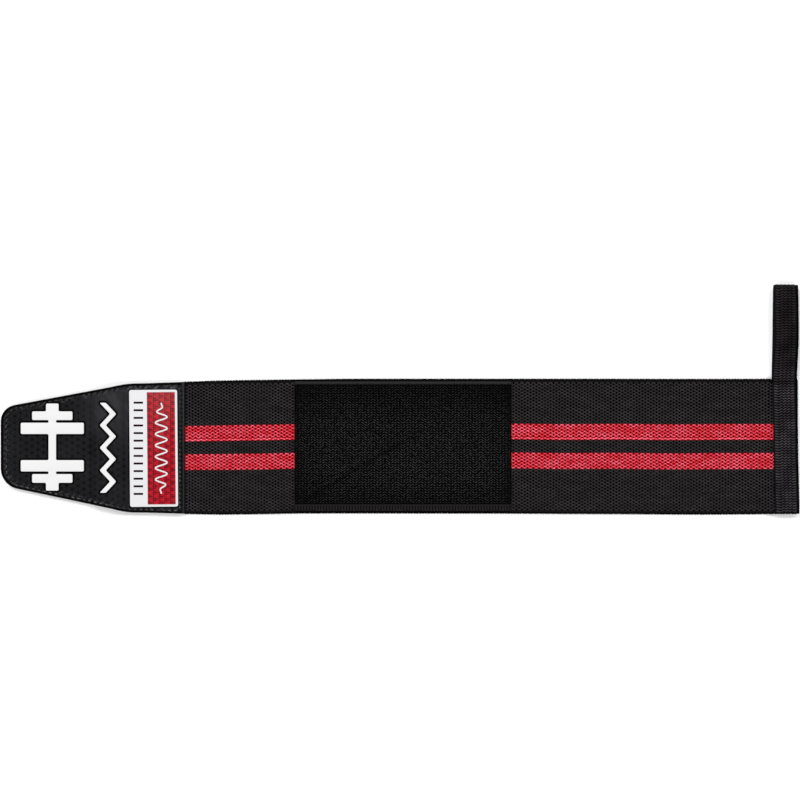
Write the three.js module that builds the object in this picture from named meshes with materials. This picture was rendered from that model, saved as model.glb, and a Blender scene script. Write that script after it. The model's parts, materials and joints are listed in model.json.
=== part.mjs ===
import * as THREE from 'three';

// An elastic wrist wrap, lying flat and open. Millimetres, +Z up.
// The origin is on the underside of the strap, in the middle of the length and of the strap's width.
// +X runs along the strap from the tapered tab to the thumb loop, +Y to the side where the loop stands out.

// Driving dimensions

const TOTAL_LENGTH = 457.2;
const STRAP_WIDTH = 77;
const STRAP_THICKNESS = 2;
const SELVEDGE_ROLL = 0.7;

const TAB_LENGTH = 105;
const TAB_TAPER_BLEND = 20;
const FACING_THICKNESS = 1.2;
const FACING_EDGE_ROLL = 0.35;

const HOOK_INSET = 1;
const HOOK_THICKNESS = 1.6;
const STRAP_TUCK = 12.4;
const TUCK_INSET = 1.2;
const STEP_LENGTH = 5;

const LABEL_WIDTH = 27.5;
const LABEL_CORNER_RADIUS = 1.4;
const LABEL_THICKNESS = 0.8;
const LABEL_END_MARGIN = 3.9;
const LABEL_SIDE_MARGIN = 3.7;
const LABEL_STEP_MARGIN = 0.6;
const LABEL_TURN_DEGREES = 0.5;
const FIELD_WIDTH = 15.9;
const FIELD_MARGIN = 1.4;
const FIELD_THICKNESS = 0.3;

const EMBLEM_THICKNESS = 0.6;
const EMBLEM_TIP_MARGIN = 11.5;
const EMBLEM_STEP_MARGIN = 2.4;
const EMBLEM_SIDE_MARGIN = 3.2;
const EMBLEM_CORNER_RADIUS = 0.9;
const ZIGZAG_HEIGHT = 8.6;
const ZIGZAG_SIDE_MARGIN = 8.7;
const ZIGZAG_STROKE = 2.6;
const ZIGZAG_TEETH = 8;

const PATCH_LENGTH = 122.9;
const PATCH_TAB_DISTANCE = 63.6;
const PATCH_UPPER_MARGIN = 1.1;
const PATCH_LOWER_MARGIN = 1.9;
const PATCH_TAPE_THICKNESS = 0.7;
const PATCH_PILE_THICKNESS = 1.6;
const PATCH_UPPER_SELVEDGE = 1.7;
const PATCH_LOWER_SELVEDGE = 3.6;
const PATCH_PILE_ROLL = 0.9;
const CREASE_DEPTH = 0.55;
const CREASE_WIDTH = 7;

const TAPE_WIDTH = 14;
const TAPE_THICKNESS = 1.2;
const TAPE_EDGE_ROLL = 0.3;
const TAPE_END_MARGIN = 0.2;
const LOOP_REACH = 54;
const LOOP_HEIGHT = 6.4;
const LOOP_RISE_LENGTH = 20;
const STRAP_END_MARGIN = 1;

const LAYER_GAP = 0.3;

// Short tables of hand-chosen forms, as shares of the named sizes

// The strap's two edges along its length. at: share of the length from tab to end of strap,
// upper and lower: share of the strap's width, measured from its centre line.
const STRAP_EDGES = [
  { at: 0.0, upper: 0.4785, lower: -0.5014 },
  { at: 0.06, upper: 0.487, lower: -0.506 },
  { at: 0.11, upper: 0.491, lower: -0.5036 },
  { at: 0.19, upper: 0.4955, lower: -0.4977 },
  { at: 0.27, upper: 0.5, lower: -0.497 },
  { at: 0.51, upper: 0.5, lower: -0.4984 },
  { at: 0.68, upper: 0.5, lower: -0.502 },
  { at: 0.84, upper: 0.499, lower: -0.506 },
  { at: 1.0, upper: 0.5, lower: -0.5014 },
];

// The tab's outline. at: share of the tab's length from its tip, upper and lower as above.
const TAB_EDGES = [
  { at: 0.0, upper: 0.2876, lower: -0.2898 },
  { at: 0.692, upper: 0.464, lower: -0.489 },
  { at: 1.0, upper: 0.4785, lower: -0.5014 },
];

// The rounded corners at the tab's tip, as shares of the strap's width.
const TAB_CORNERS = { upper: 0.122, lower: 0.155 };

// Where the tape drifts sideways. at: share of the way from the strap's lower edge to the fold,
// over and under: shift of the upper and lower run, as a share of the tape's width.
const TAPE_DRIFT = [
  { at: 0.0, over: 0.0, under: -0.03 },
  { at: 0.3, over: -0.055, under: -0.07 },
  { at: 0.58, over: -0.1, under: -0.12 },
  { at: 0.8, over: -0.045, under: -0.085 },
  { at: 1.0, over: -0.065, under: -0.065 },
];

// The sign on the tab: a barbell in steps from its middle out.
// until: share of half its length, height: share of its full height.
const BARBELL_STEPS = [
  { until: 0.3, height: 0.12 },
  { until: 0.56, height: 1.0 },
  { until: 0.62, height: 0.12 },
  { until: 0.82, height: 0.64 },
  { until: 1.0, height: 0.2 },
];

// The two stitched creases of the patch, corner to corner, as shares of its length and width.
const PATCH_CREASES = [
  { fromX: -0.45, fromY: -0.42, toX: 0.35, toY: 0.36 },
  { fromX: -0.44, fromY: 0.4, toX: 0.42, toY: -0.43 },
];

// Places worked out from the sizes

const TIP_X = -TOTAL_LENGTH / 2;
const END_X = TOTAL_LENGTH / 2;
const TAB_END_X = TIP_X + TAB_LENGTH;
const LABEL_X = TAB_END_X - LABEL_END_MARGIN - LABEL_WIDTH / 2;

// The strap comes down from the hook panel just before the label, which lies on the flat part.
const STEP_END_X = LABEL_X - LABEL_WIDTH / 2 - LABEL_STEP_MARGIN;
const STEP_START_X = STEP_END_X - STEP_LENGTH;
const HOOK_END_X = STEP_START_X - LAYER_GAP;
const STRAP_START_X = HOOK_END_X - STRAP_TUCK;

// The facing goes up over the strap's tucked end just before that end.
const RISE_END_X = STRAP_START_X - LAYER_GAP;
const RISE_START_X = RISE_END_X - STEP_LENGTH;

const STRAP_END_X = END_X - STRAP_END_MARGIN;
const TAPE_X = END_X - TAPE_END_MARGIN - TAPE_WIDTH / 2;
const TAPE_DRIFTS = TAPE_DRIFT.flatMap((row) => [row.over, row.under]);
const TAPE_LEFT_X = TAPE_X + TAPE_WIDTH * (Math.min(...TAPE_DRIFTS) - 0.5);

const PATCH_X = TAB_END_X + PATCH_TAB_DISTANCE + PATCH_LENGTH / 2;
const PATCH_WIDTH = STRAP_WIDTH - PATCH_UPPER_MARGIN - PATCH_LOWER_MARGIN;
const PATCH_Y = (PATCH_LOWER_MARGIN - PATCH_UPPER_MARGIN) / 2;

const TUCKED_BASE = HOOK_THICKNESS + LAYER_GAP;
const TAPED_BASE = TAPE_THICKNESS + LAYER_GAP;

function smoothStep(from, to, x) {
  const t = Math.min(1, Math.max(0, (x - from) / (to - from)));
  return t * t * (3 - 2 * t);
}

// Height of the strap's underside: up over the hook panel at one end, over the tape at the other.
function strapBase(x) {
  const fall = smoothStep(STEP_START_X, STEP_END_X, x);
  const rise = smoothStep(TAPE_LEFT_X - STEP_LENGTH, TAPE_LEFT_X, x);
  return TUCKED_BASE * (1 - fall) + TAPED_BASE * rise;
}

// Height of the facing's underside: over the hook panel, then over the strap.
function facingBase(x) {
  const overStrap = strapBase(x) + STRAP_THICKNESS + LAYER_GAP;
  const rise = smoothStep(RISE_START_X, RISE_END_X, x);
  return TUCKED_BASE + (overStrap - TUCKED_BASE) * rise;
}

// A value between the rows of a table, on smooth curves through them.
function alongTable(rows, column, at) {
  if (at <= rows[0].at) return rows[0][column];
  const last = rows[rows.length - 1];
  if (at >= last.at) return last[column];
  const index = rows.findIndex((row) => row.at > at);
  const before = rows[index - 1];
  const after = rows[index];
  return before[column] + (after[column] - before[column]) * smoothStep(before.at, after.at, at);
}

// The tab's edge: two straight runs with a soft bend between them, and a rounded corner at the tip.
function tabEdge(column, x) {
  const [tip, bend, end] = TAB_EDGES;
  const run = x - TIP_X;
  const bendRun = bend.at * TAB_LENGTH;
  const tipY = tip[column] * STRAP_WIDTH;
  const bendY = bend[column] * STRAP_WIDTH;
  const endY = end[column] * STRAP_WIDTH;
  const taper = (bendY - tipY) / bendRun;
  const straight = (endY - bendY) / (TAB_LENGTH - bendRun);
  const blend = smoothStep(bendRun - TAB_TAPER_BLEND / 2, bendRun + TAB_TAPER_BLEND / 2, run);
  const edge = (bendY + (run - bendRun) * taper) * (1 - blend) + (bendY + (run - bendRun) * straight) * blend;
  const radius = TAB_CORNERS[column] * STRAP_WIDTH;
  return edge - Math.sign(tipY) * cornerCut(run, radius, Math.atan(Math.abs(taper)));
}

// How far a rounded corner lies inside its two straight edges, at a run from the end edge.
// The side edge leaves the end edge at a right angle widened by the taper.
function cornerCut(run, radius, taper) {
  if (run >= radius * (1 - Math.sin(taper))) return 0;
  const toCentre = radius - run;
  return radius / Math.cos(taper) - toCentre * Math.tan(taper) - Math.sqrt(radius ** 2 - toCentre ** 2);
}

function strapEdge(column, x) {
  const at = (x - TAB_END_X) / (STRAP_END_X - TAB_END_X);
  const edge = alongTable(STRAP_EDGES, column, at) * STRAP_WIDTH;
  if (x >= TAB_END_X) return edge;
  const tuck = smoothStep(0, STEP_LENGTH, TAB_END_X - x) * TUCK_INSET;
  return tabEdge(column, x) - Math.sign(edge) * tuck;
}

// A closed solid from two matching grids of points, one for its top and one for its underside.
function sheetGeometry(rows, columns, topPoint, basePoint) {
  const positions = [];
  const index = [];
  const at = (side, row, column) => (side * rows + row) * columns + column;
  for (const point of [topPoint, basePoint]) {
    for (let row = 0; row < rows; row += 1) {
      for (let column = 0; column < columns; column += 1) {
        positions.push(...point(row, column));
      }
    }
  }
  const quad = (a, b, c, d) => index.push(a, b, c, a, c, d);
  for (let row = 0; row < rows - 1; row += 1) {
    for (let column = 0; column < columns - 1; column += 1) {
      quad(at(0, row, column), at(0, row + 1, column), at(0, row + 1, column + 1), at(0, row, column + 1));
      quad(at(1, row, column), at(1, row, column + 1), at(1, row + 1, column + 1), at(1, row + 1, column));
    }
  }
  for (let row = 0; row < rows - 1; row += 1) {
    const end = columns - 1;
    quad(at(0, row, 0), at(1, row, 0), at(1, row + 1, 0), at(0, row + 1, 0));
    quad(at(0, row + 1, end), at(1, row + 1, end), at(1, row, end), at(0, row, end));
  }
  for (let column = 0; column < columns - 1; column += 1) {
    const end = rows - 1;
    quad(at(0, 0, column + 1), at(1, 0, column + 1), at(1, 0, column), at(0, 0, column));
    quad(at(0, end, column), at(1, end, column), at(1, end, column + 1), at(0, end, column + 1));
  }
  const geometry = new THREE.BufferGeometry();
  geometry.setAttribute('position', new THREE.Float32BufferAttribute(positions, 3));
  geometry.setIndex(index);
  geometry.computeVertexNormals();
  return geometry;
}

// Places across a strip, from 0 to 1, closer together in the rolled edges.
function acrossPlaces(width, roll, inner) {
  const edge = roll / width;
  const places = [0, edge * 0.3, edge];
  for (let step = 1; step < inner; step += 1) {
    places.push(edge + (1 - 2 * edge) * (step / inner));
  }
  places.push(1 - edge, 1 - edge * 0.3, 1);
  return places;
}

// How far the face of a strip drops in its rolled edge, at a distance from that edge.
function edgeDrop(distance, roll) {
  if (distance >= roll) return 0;
  return roll - Math.sqrt(roll * roll - (roll - distance) * (roll - distance));
}

// A flat strip along X whose edges, underside and thickness are functions of x.
function stripGeometry({ stations, lower, upper, base, thickness, roll, inner }) {
  const places = acrossPlaces(STRAP_WIDTH, roll, inner);
  const point = (isTop) => (row, column) => {
    const x = stations[row];
    const y = lower(x) + (upper(x) - lower(x)) * places[column];
    const fromEdge = Math.min(places[column], 1 - places[column]) * STRAP_WIDTH;
    const drop = edgeDrop(fromEdge, roll);
    const z = isTop ? base(x) + thickness - drop : base(x) + drop;
    return [x, y, z];
  };
  return sheetGeometry(stations.length, places.length, point(true), point(false));
}

function evenly(from, to, steps) {
  return Array.from({ length: steps + 1 }, (_, step) => from + ((to - from) * step) / steps);
}

// Stations without near doubles, in order, inside a range.
function stationList(from, to, ...groups) {
  const sorted = [from, to, ...groups.flat().filter((x) => x > from && x < to)].sort((a, b) => a - b);
  return sorted.filter((x, place) => place === 0 || x - sorted[place - 1] > 0.05);
}

const CORNER_RUN = Math.max(TAB_CORNERS.upper, TAB_CORNERS.lower) * STRAP_WIDTH * 1.25;
const CORNER_STEPS = evenly(0, 1, 10).map((share) => TIP_X + CORNER_RUN * share * share);
const BEND_STEPS = evenly(
  TIP_X + TAB_EDGES[1].at * TAB_LENGTH - TAB_TAPER_BLEND / 2,
  TIP_X + TAB_EDGES[1].at * TAB_LENGTH + TAB_TAPER_BLEND / 2,
  6,
);
const HOOK_STEPS = evenly(STEP_START_X, STEP_END_X, 6);
const TUCK_STEPS = evenly(RISE_START_X, RISE_END_X, 6);
const TAPE_STEPS = evenly(TAPE_LEFT_X - STEP_LENGTH, TAPE_LEFT_X, 6);
const TAB_END_STEPS = evenly(TAB_END_X - STEP_LENGTH, TAB_END_X, 3);

function strapGeometry() {
  const edgeRows = STRAP_EDGES.map((row) => TAB_END_X + row.at * (STRAP_END_X - TAB_END_X));
  const between = edgeRows.slice(1).flatMap((x, place) => evenly(edgeRows[place], x, 3));
  return stripGeometry({
    stations: stationList(STRAP_START_X, STRAP_END_X, HOOK_STEPS, BEND_STEPS, TAB_END_STEPS, between, TAPE_STEPS),
    lower: (x) => strapEdge('lower', x),
    upper: (x) => strapEdge('upper', x),
    base: strapBase,
    thickness: STRAP_THICKNESS,
    roll: SELVEDGE_ROLL,
    inner: 5,
  });
}

function facingGeometry() {
  return stripGeometry({
    stations: stationList(TIP_X, TAB_END_X, CORNER_STEPS, TUCK_STEPS, HOOK_STEPS, BEND_STEPS, TAB_END_STEPS),
    lower: (x) => tabEdge('lower', x),
    upper: (x) => tabEdge('upper', x),
    base: facingBase,
    thickness: FACING_THICKNESS,
    roll: FACING_EDGE_ROLL,
    inner: 5,
  });
}

function hookPanelGeometry() {
  const inset = (column) => (x) => {
    const edge = tabEdge(column, x - HOOK_INSET);
    return edge - Math.sign(edge) * HOOK_INSET;
  };
  const start = TIP_X + HOOK_INSET;
  return stripGeometry({
    stations: stationList(start, HOOK_END_X, CORNER_STEPS.map((x) => x + HOOK_INSET)),
    lower: inset('lower'),
    upper: inset('upper'),
    base: () => 0,
    thickness: HOOK_THICKNESS,
    roll: FACING_EDGE_ROLL,
    inner: 5,
  });
}

// An outline with every corner rounded off.
function roundedOutline(corners, radius) {
  const shape = new THREE.Shape();
  corners.forEach((corner, place) => {
    const before = corners[(place + corners.length - 1) % corners.length];
    const after = corners[(place + 1) % corners.length];
    const toBefore = before.clone().sub(corner);
    const toAfter = after.clone().sub(corner);
    const reach = Math.min(radius, toBefore.length() / 2.2, toAfter.length() / 2.2);
    const start = corner.clone().add(toBefore.setLength(reach));
    const end = corner.clone().add(toAfter.setLength(reach));
    if (place === 0) shape.moveTo(start.x, start.y);
    else shape.lineTo(start.x, start.y);
    shape.quadraticCurveTo(corner.x, corner.y, end.x, end.y);
  });
  shape.closePath();
  return shape;
}

function rectangleCorners(length, width) {
  return [
    new THREE.Vector2(-length / 2, -width / 2),
    new THREE.Vector2(length / 2, -width / 2),
    new THREE.Vector2(length / 2, width / 2),
    new THREE.Vector2(-length / 2, width / 2),
  ];
}

function plateGeometry(corners, radius, thickness) {
  return new THREE.ExtrudeGeometry(roundedOutline(corners, radius), {
    depth: thickness,
    bevelEnabled: false,
    curveSegments: 5,
  });
}

// The barbell lies with its bar along Y.
function barbellCorners(length, height) {
  const corners = [];
  let from = 0;
  for (const step of BARBELL_STEPS) {
    const half = (step.height * height) / 2;
    corners.push([(from * length) / 2, half], [(step.until * length) / 2, half]);
    from = step.until;
  }
  const quarter = corners.slice(1);
  const upper = quarter.map(([along, half]) => new THREE.Vector2(half, along));
  const lower = quarter.map(([along, half]) => new THREE.Vector2(half, -along)).reverse();
  const right = [...lower, ...upper];
  const left = right.map((corner) => new THREE.Vector2(-corner.x, corner.y)).reverse();
  return [...right, ...left];
}

// A band of even stroke that runs to and fro along Y.
function zigzagCorners(length) {
  const pitch = length / ZIGZAG_TEETH;
  const swing = (ZIGZAG_HEIGHT - ZIGZAG_STROKE) / 2;
  const offset = (ZIGZAG_STROKE / 2) * Math.hypot(1, (2 * swing) / pitch);
  const places = evenly(-length / 2, length / 2, ZIGZAG_TEETH);
  const middle = places.map((y, place) => [place % 2 === 0 ? -swing : swing, y]);
  const right = middle.map(([x, y]) => new THREE.Vector2(x + offset, y));
  const left = middle.map(([x, y]) => new THREE.Vector2(x - offset, y)).reverse();
  return [...right, ...left];
}

// The loop patch: a flat tape with a plain selvedge along both sides, a thick pile with rolled edges
// between them, and a soft crease pressed into the pile from corner to corner.
function patchGeometry() {
  const halfLength = PATCH_LENGTH / 2;
  const halfWidth = PATCH_WIDTH / 2;
  const pileTop = halfWidth - PATCH_UPPER_SELVEDGE;
  const pileBottom = PATCH_LOWER_SELVEDGE - halfWidth;
  const rolls = [0, 0.15, 0.5, 1].map((share) => share * PATCH_PILE_ROLL);
  const columnsX = stationList(
    -halfLength,
    halfLength,
    rolls.flatMap((roll) => [roll - halfLength, halfLength - roll]),
    evenly(PATCH_PILE_ROLL - halfLength, halfLength - PATCH_PILE_ROLL, 34),
  );
  const placesY = stationList(
    -halfWidth,
    halfWidth,
    rolls.flatMap((roll) => [pileBottom + roll, pileTop - roll]),
    evenly(pileBottom + PATCH_PILE_ROLL, pileTop - PATCH_PILE_ROLL, 18),
  );
  const pile = PATCH_PILE_THICKNESS - PATCH_TAPE_THICKNESS;
  const top = (row, column) => {
    const x = columnsX[row];
    const y = placesY[column];
    const inset = Math.max(0, Math.min(halfLength - Math.abs(x), pileTop - y, y - pileBottom));
    const rise = 1 - edgeDrop(inset, PATCH_PILE_ROLL) / PATCH_PILE_ROLL;
    return [x, y, PATCH_TAPE_THICKNESS + rise * (pile - creaseDepth(x, y))];
  };
  const under = (row, column) => [columnsX[row], placesY[column], 0];
  return sheetGeometry(columnsX.length, placesY.length, top, under);
}

function creaseDepth(x, y) {
  const depths = PATCH_CREASES.map((crease) => {
    const line = new THREE.Line3(
      new THREE.Vector3(crease.fromX * PATCH_LENGTH, crease.fromY * PATCH_WIDTH, 0),
      new THREE.Vector3(crease.toX * PATCH_LENGTH, crease.toY * PATCH_WIDTH, 0),
    );
    const point = new THREE.Vector3(x, y, 0);
    const distance = line.closestPointToPoint(point, true, new THREE.Vector3()).distanceTo(point);
    return CREASE_DEPTH * (1 - smoothStep(0, CREASE_WIDTH / 2, distance));
  });
  return Math.max(...depths);
}

// The tape's middle line in the plane across the strap: the upper run from the strap's lower edge,
// up over the open loop, round the fold and back along the ground.
function tapePath() {
  const cutY = STRAP_EDGES[STRAP_EDGES.length - 1].lower * STRAP_WIDTH;
  const edgeY = STRAP_EDGES[STRAP_EDGES.length - 1].upper * STRAP_WIDTH;
  const foldY = edgeY + LOOP_REACH;
  const groundZ = TAPE_THICKNESS / 2;
  const overZ = TAPED_BASE + STRAP_THICKNESS + LAYER_GAP + TAPE_THICKNESS / 2;
  const loopZ = groundZ + LOOP_HEIGHT + TAPE_THICKNESS;
  const foldRadius = (loopZ - groundZ) / 2;
  const turnY = foldY - TAPE_THICKNESS / 2 - foldRadius;
  const riseY = edgeY + LAYER_GAP;
  const path = [];
  for (const y of evenly(cutY, riseY, 10)) {
    path.push({ y, z: overZ, run: 'over' });
  }
  for (const y of evenly(riseY, riseY + LOOP_RISE_LENGTH, 8).slice(1)) {
    path.push({ y, z: overZ + (loopZ - overZ) * smoothStep(riseY, riseY + LOOP_RISE_LENGTH, y), run: 'over' });
  }
  for (const y of evenly(riseY + LOOP_RISE_LENGTH, turnY, 4).slice(1)) {
    path.push({ y, z: loopZ, run: 'over' });
  }
  for (const angle of evenly(Math.PI / 2, -Math.PI / 2, 12).slice(1, -1)) {
    path.push({
      y: turnY + foldRadius * Math.cos(angle),
      z: groundZ + foldRadius + foldRadius * Math.sin(angle),
      run: angle > 0 ? 'over' : 'under',
    });
  }
  for (const y of evenly(turnY, cutY, 16)) {
    path.push({ y, z: groundZ, run: 'under' });
  }
  return path.map((point) => {
    const at = (point.y - cutY) / (foldY - cutY);
    return new THREE.Vector3(TAPE_X + alongTable(TAPE_DRIFT, point.run, at) * TAPE_WIDTH, point.y, point.z);
  });
}

function tapeGeometry() {
  const path = tapePath();
  const places = acrossPlaces(TAPE_WIDTH, TAPE_EDGE_ROLL, 3);
  const normals = path.map((_, place) => {
    const before = path[Math.max(0, place - 1)];
    const after = path[Math.min(path.length - 1, place + 1)];
    const along = after.clone().sub(before).setX(0).normalize();
    return new THREE.Vector3(0, -along.z, along.y);
  });
  const point = (side) => (row, column) => {
    const across = places[column] * TAPE_WIDTH;
    const drop = edgeDrop(Math.min(across, TAPE_WIDTH - across), TAPE_EDGE_ROLL);
    const offset = normals[row].clone().multiplyScalar(side * (TAPE_THICKNESS / 2 - drop));
    const centre = path[row].clone().add(offset);
    return [centre.x - across + TAPE_WIDTH / 2, centre.y, centre.z];
  };
  return sheetGeometry(path.length, places.length, point(1), point(-1));
}

// Materials

function material(color, roughness) {
  return new THREE.MeshStandardMaterial({ color, roughness, metalness: 0 });
}

const BLACK_WEBBING = 0x232222;
const BLACK_LEATHER = 0x262627;
const BLACK_HOOK = 0x1b1b1c;
const BLACK_PILE = 0x161617;
const BLACK_TAPE = 0x1d1b1d;
const WHITE_RUBBER = 0xf4f4f2;
const RED_RUBBER = 0xb92334;

// Assembly

const wrap = new THREE.Group();

function addPiece(name, geometry, pieceMaterial, x = 0, y = 0, z = 0, group = wrap) {
  const mesh = new THREE.Mesh(geometry, pieceMaterial);
  mesh.name = name;
  mesh.position.set(x, y, z);
  group.add(mesh);
}

// The room on the facing at a place along it: the middle and width left by a margin at both edges.
function roomOnTab(x, margin) {
  const upper = tabEdge('upper', x) - margin;
  const lower = tabEdge('lower', x) + margin;
  return { middle: (upper + lower) / 2, width: upper - lower, top: facingBase(x) + FACING_THICKNESS };
}

addPiece('strap', strapGeometry(), material(BLACK_WEBBING, 0.85));
addPiece('hook_panel', hookPanelGeometry(), material(BLACK_HOOK, 0.7));
addPiece('tab_facing', facingGeometry(), material(BLACK_LEATHER, 0.5));

const labelRoom = roomOnTab(LABEL_X, LABEL_SIDE_MARGIN);
const label = new THREE.Group();
label.position.set(LABEL_X, labelRoom.middle, labelRoom.top);
label.rotation.z = THREE.MathUtils.degToRad(LABEL_TURN_DEGREES);
wrap.add(label);

const plateCorners = rectangleCorners(LABEL_WIDTH, labelRoom.width);
const plate = plateGeometry(plateCorners, LABEL_CORNER_RADIUS, LABEL_THICKNESS);
addPiece('label_plate', plate, material(WHITE_RUBBER, 0.45), 0, 0, 0, label);

const fieldX = LABEL_WIDTH / 2 - FIELD_MARGIN - FIELD_WIDTH / 2;
const fieldCorners = rectangleCorners(FIELD_WIDTH, labelRoom.width - 2 * FIELD_MARGIN);
const field = plateGeometry(fieldCorners, FIELD_THICKNESS, FIELD_THICKNESS);
addPiece('label_field', field, material(RED_RUBBER, 0.45), fieldX, 0, LABEL_THICKNESS, label);

const emblemHeight = RISE_START_X - TIP_X - EMBLEM_TIP_MARGIN - EMBLEM_STEP_MARGIN;
const emblemX = TIP_X + EMBLEM_TIP_MARGIN + emblemHeight / 2;
const emblemRoom = roomOnTab(emblemX, EMBLEM_SIDE_MARGIN);
const emblem = plateGeometry(
  barbellCorners(emblemRoom.width, emblemHeight),
  EMBLEM_CORNER_RADIUS,
  EMBLEM_THICKNESS,
);
addPiece('emblem', emblem, material(WHITE_RUBBER, 0.45), emblemX, emblemRoom.middle, emblemRoom.top);

const zigzagX = (STRAP_START_X + HOOK_END_X) / 2;
const zigzagRoom = roomOnTab(zigzagX, ZIGZAG_SIDE_MARGIN);
const zigzag = plateGeometry(zigzagCorners(zigzagRoom.width), EMBLEM_CORNER_RADIUS, EMBLEM_THICKNESS);
addPiece('emblem_zigzag', zigzag, material(WHITE_RUBBER, 0.45), zigzagX, zigzagRoom.middle, zigzagRoom.top);

const patchBase = STRAP_THICKNESS + LAYER_GAP;
addPiece('loop_patch', patchGeometry(), material(BLACK_PILE, 0.95), PATCH_X, PATCH_Y, patchBase);
addPiece('thumb_loop', tapeGeometry(), material(BLACK_TAPE, 0.85));

export default wrap;
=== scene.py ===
import json
import math
import random

import bpy
import numpy as np
from mathutils import Matrix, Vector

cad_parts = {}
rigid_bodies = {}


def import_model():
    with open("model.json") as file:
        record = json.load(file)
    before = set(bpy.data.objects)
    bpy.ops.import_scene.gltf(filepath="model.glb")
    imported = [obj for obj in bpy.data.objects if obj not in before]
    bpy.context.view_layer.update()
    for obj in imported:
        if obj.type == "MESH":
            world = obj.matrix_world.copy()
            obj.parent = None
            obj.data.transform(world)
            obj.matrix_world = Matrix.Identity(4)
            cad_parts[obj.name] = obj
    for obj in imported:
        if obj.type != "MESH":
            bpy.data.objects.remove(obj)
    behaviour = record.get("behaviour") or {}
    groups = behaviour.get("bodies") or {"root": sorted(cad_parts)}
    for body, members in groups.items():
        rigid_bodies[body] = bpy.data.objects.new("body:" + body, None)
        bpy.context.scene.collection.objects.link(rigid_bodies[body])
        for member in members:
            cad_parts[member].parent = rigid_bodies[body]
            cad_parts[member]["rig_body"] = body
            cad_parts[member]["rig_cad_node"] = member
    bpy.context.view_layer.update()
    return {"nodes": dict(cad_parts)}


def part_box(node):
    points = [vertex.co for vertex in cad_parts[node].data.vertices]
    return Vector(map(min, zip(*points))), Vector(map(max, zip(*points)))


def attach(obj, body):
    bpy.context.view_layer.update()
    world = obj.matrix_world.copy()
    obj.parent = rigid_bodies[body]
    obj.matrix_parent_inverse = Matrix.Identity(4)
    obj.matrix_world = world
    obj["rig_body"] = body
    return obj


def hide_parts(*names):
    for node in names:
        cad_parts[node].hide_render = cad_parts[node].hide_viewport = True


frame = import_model()

MM = 0.001
BODY = "root"
MERGE_DISTANCE = 1e-6

# Camera and picture
CAMERA_HEIGHT = 3.2
LOOK_HEIGHT = 3 * MM
SENSOR_WIDTH = 36.0
PICTURE_WIDTH = 457.8 * MM
PICTURE_CENTRE = (-0.1 * MM, 26.5 * MM)
CLIP_NEAR = 0.1
CLIP_FAR = 20
FLOOR_SIZE = 12

# Light: wide soft lamps far off. Turn about the vertical, rise over the floor and width are in degrees
WORLD_STRENGTH = 0.12
LAMPS = (
    {"name": "key", "turn": 118, "rise": 50, "width": 36, "energy": 2.4},
    {"name": "right", "turn": 52, "rise": 44, "width": 36, "energy": 1.3},
    {"name": "left", "turn": 232, "rise": 44, "width": 36, "energy": 1.3},
    {"name": "front", "turn": 305, "rise": 44, "width": 36, "energy": 1.3},
)

# White surfaces show this much brighter than screen white
LIGHT_LEVEL = 1.6

# Webbing: wavy rows of yarn in two colours on a thin core
WEBBING_ROWS = 42
STRAP_WIDTH = 77 * MM
ROW_PITCH = STRAP_WIDTH / WEBBING_ROWS
RED_BANDS = ((14, 19), (23, 28))
RED_ROWS = tuple(row for first, after in RED_BANDS for row in range(first, after))
MARGIN_ROWS = (0, 40, 41)
FLAT_ROW = 18
WAVE_LENGTH = 3.28 * MM
WAVE_SWING = 0.32
FLAT_ROW_SWING = 0.45
WAVE_STEPS = 8
YARN_SIDES = 6
YARN_WIDTH = 0.95
YARN_NARROWING = 0.92
# How far the slopes are lifted out of the painted shade, so that the shade gathers at the bends
BLACK_SLOPE_RISE = 0.22
RED_SLOPE_RISE = 0.1
YARN_HEIGHT = 0.62 * MM
EDGE_CORD_WIDTH = 2.4 * MM
EDGE_CORD_SWING = 0.08
EDGE_CORD_RISE = 0.74
EDGE_CORD_DROP = 0.45 * MM
# Where the painted shade on each edge cord's outer side starts and ends
EDGE_CORD_SHADE_LINE = (0.15, 0.5)
CORE_BOTTOM = 0.15 * MM
CORE_TOP = 1.0 * MM
ROW_END_LENGTH = 6 * MM
ROW_DRIFT = 0.15 * MM
ROW_LIFT = 0.05 * MM
WOBBLE = 0.22 * MM
TAB_SHADE_NEAR = 0.35 * MM
TAB_SHADE_FAR = 0.9 * MM

# Soft fold down the strap beside the tape, with a line on each side that dips and carries painted shade
END_FOLD_X = 212.3 * MM
END_FOLD_HALF_WIDTH = 0.95 * MM
END_FOLD_WIDTH = 0.8 * MM
END_FOLD_LINE_WIDTH = 0.32 * MM
END_FOLD_HEIGHT = 0.3 * MM
END_FOLD_LOW_Y = 8 * MM
END_FOLD_HIGH_Y = 24 * MM
END_FOLD_SHADE = 0.35

# Tab: embossed sheet, its rim and seams
EMBOSS_PITCH = 3.29 * MM
EMBOSS_TURNS = (0, math.radians(60), math.radians(-60))
EMBOSS_DEPTH = 0.2 * MM
EMBOSS_GROOVE = 0.36 * MM
LEATHER_EDGE_ROLL = 0.25 * MM
SEAM_SIDE_INSET = 1.7 * MM
SEAM_TIP_INSET = 3.2 * MM
SEAM_END_INSET = 2.5 * MM
HOLE_INSET = 0.8 * MM
END_LIP = 1.25 * MM
GAP_INSET = 1.4 * MM
SEAM_GROOVE_WIDTH = 0.55 * MM
SEAM_GROOVE_DEPTH = 0.22 * MM
STITCH_PITCH = 3.3 * MM
END_STITCH_PITCH = 2.5 * MM
STITCH_LENGTH = 2.1 * MM
GAP_LEAN = 0.9
END_STITCH_LEAN = 0.15
STITCH_WANDER = 0.12
STITCH_THICKNESS = 0.7 * MM
THREAD_TWIST = 0.35 * MM
THREAD_SHADE_ACROSS = (-20 * MM, 10 * MM)
OVERCAST_SHARES = (0.42, 0.8, 0.9)
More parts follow.
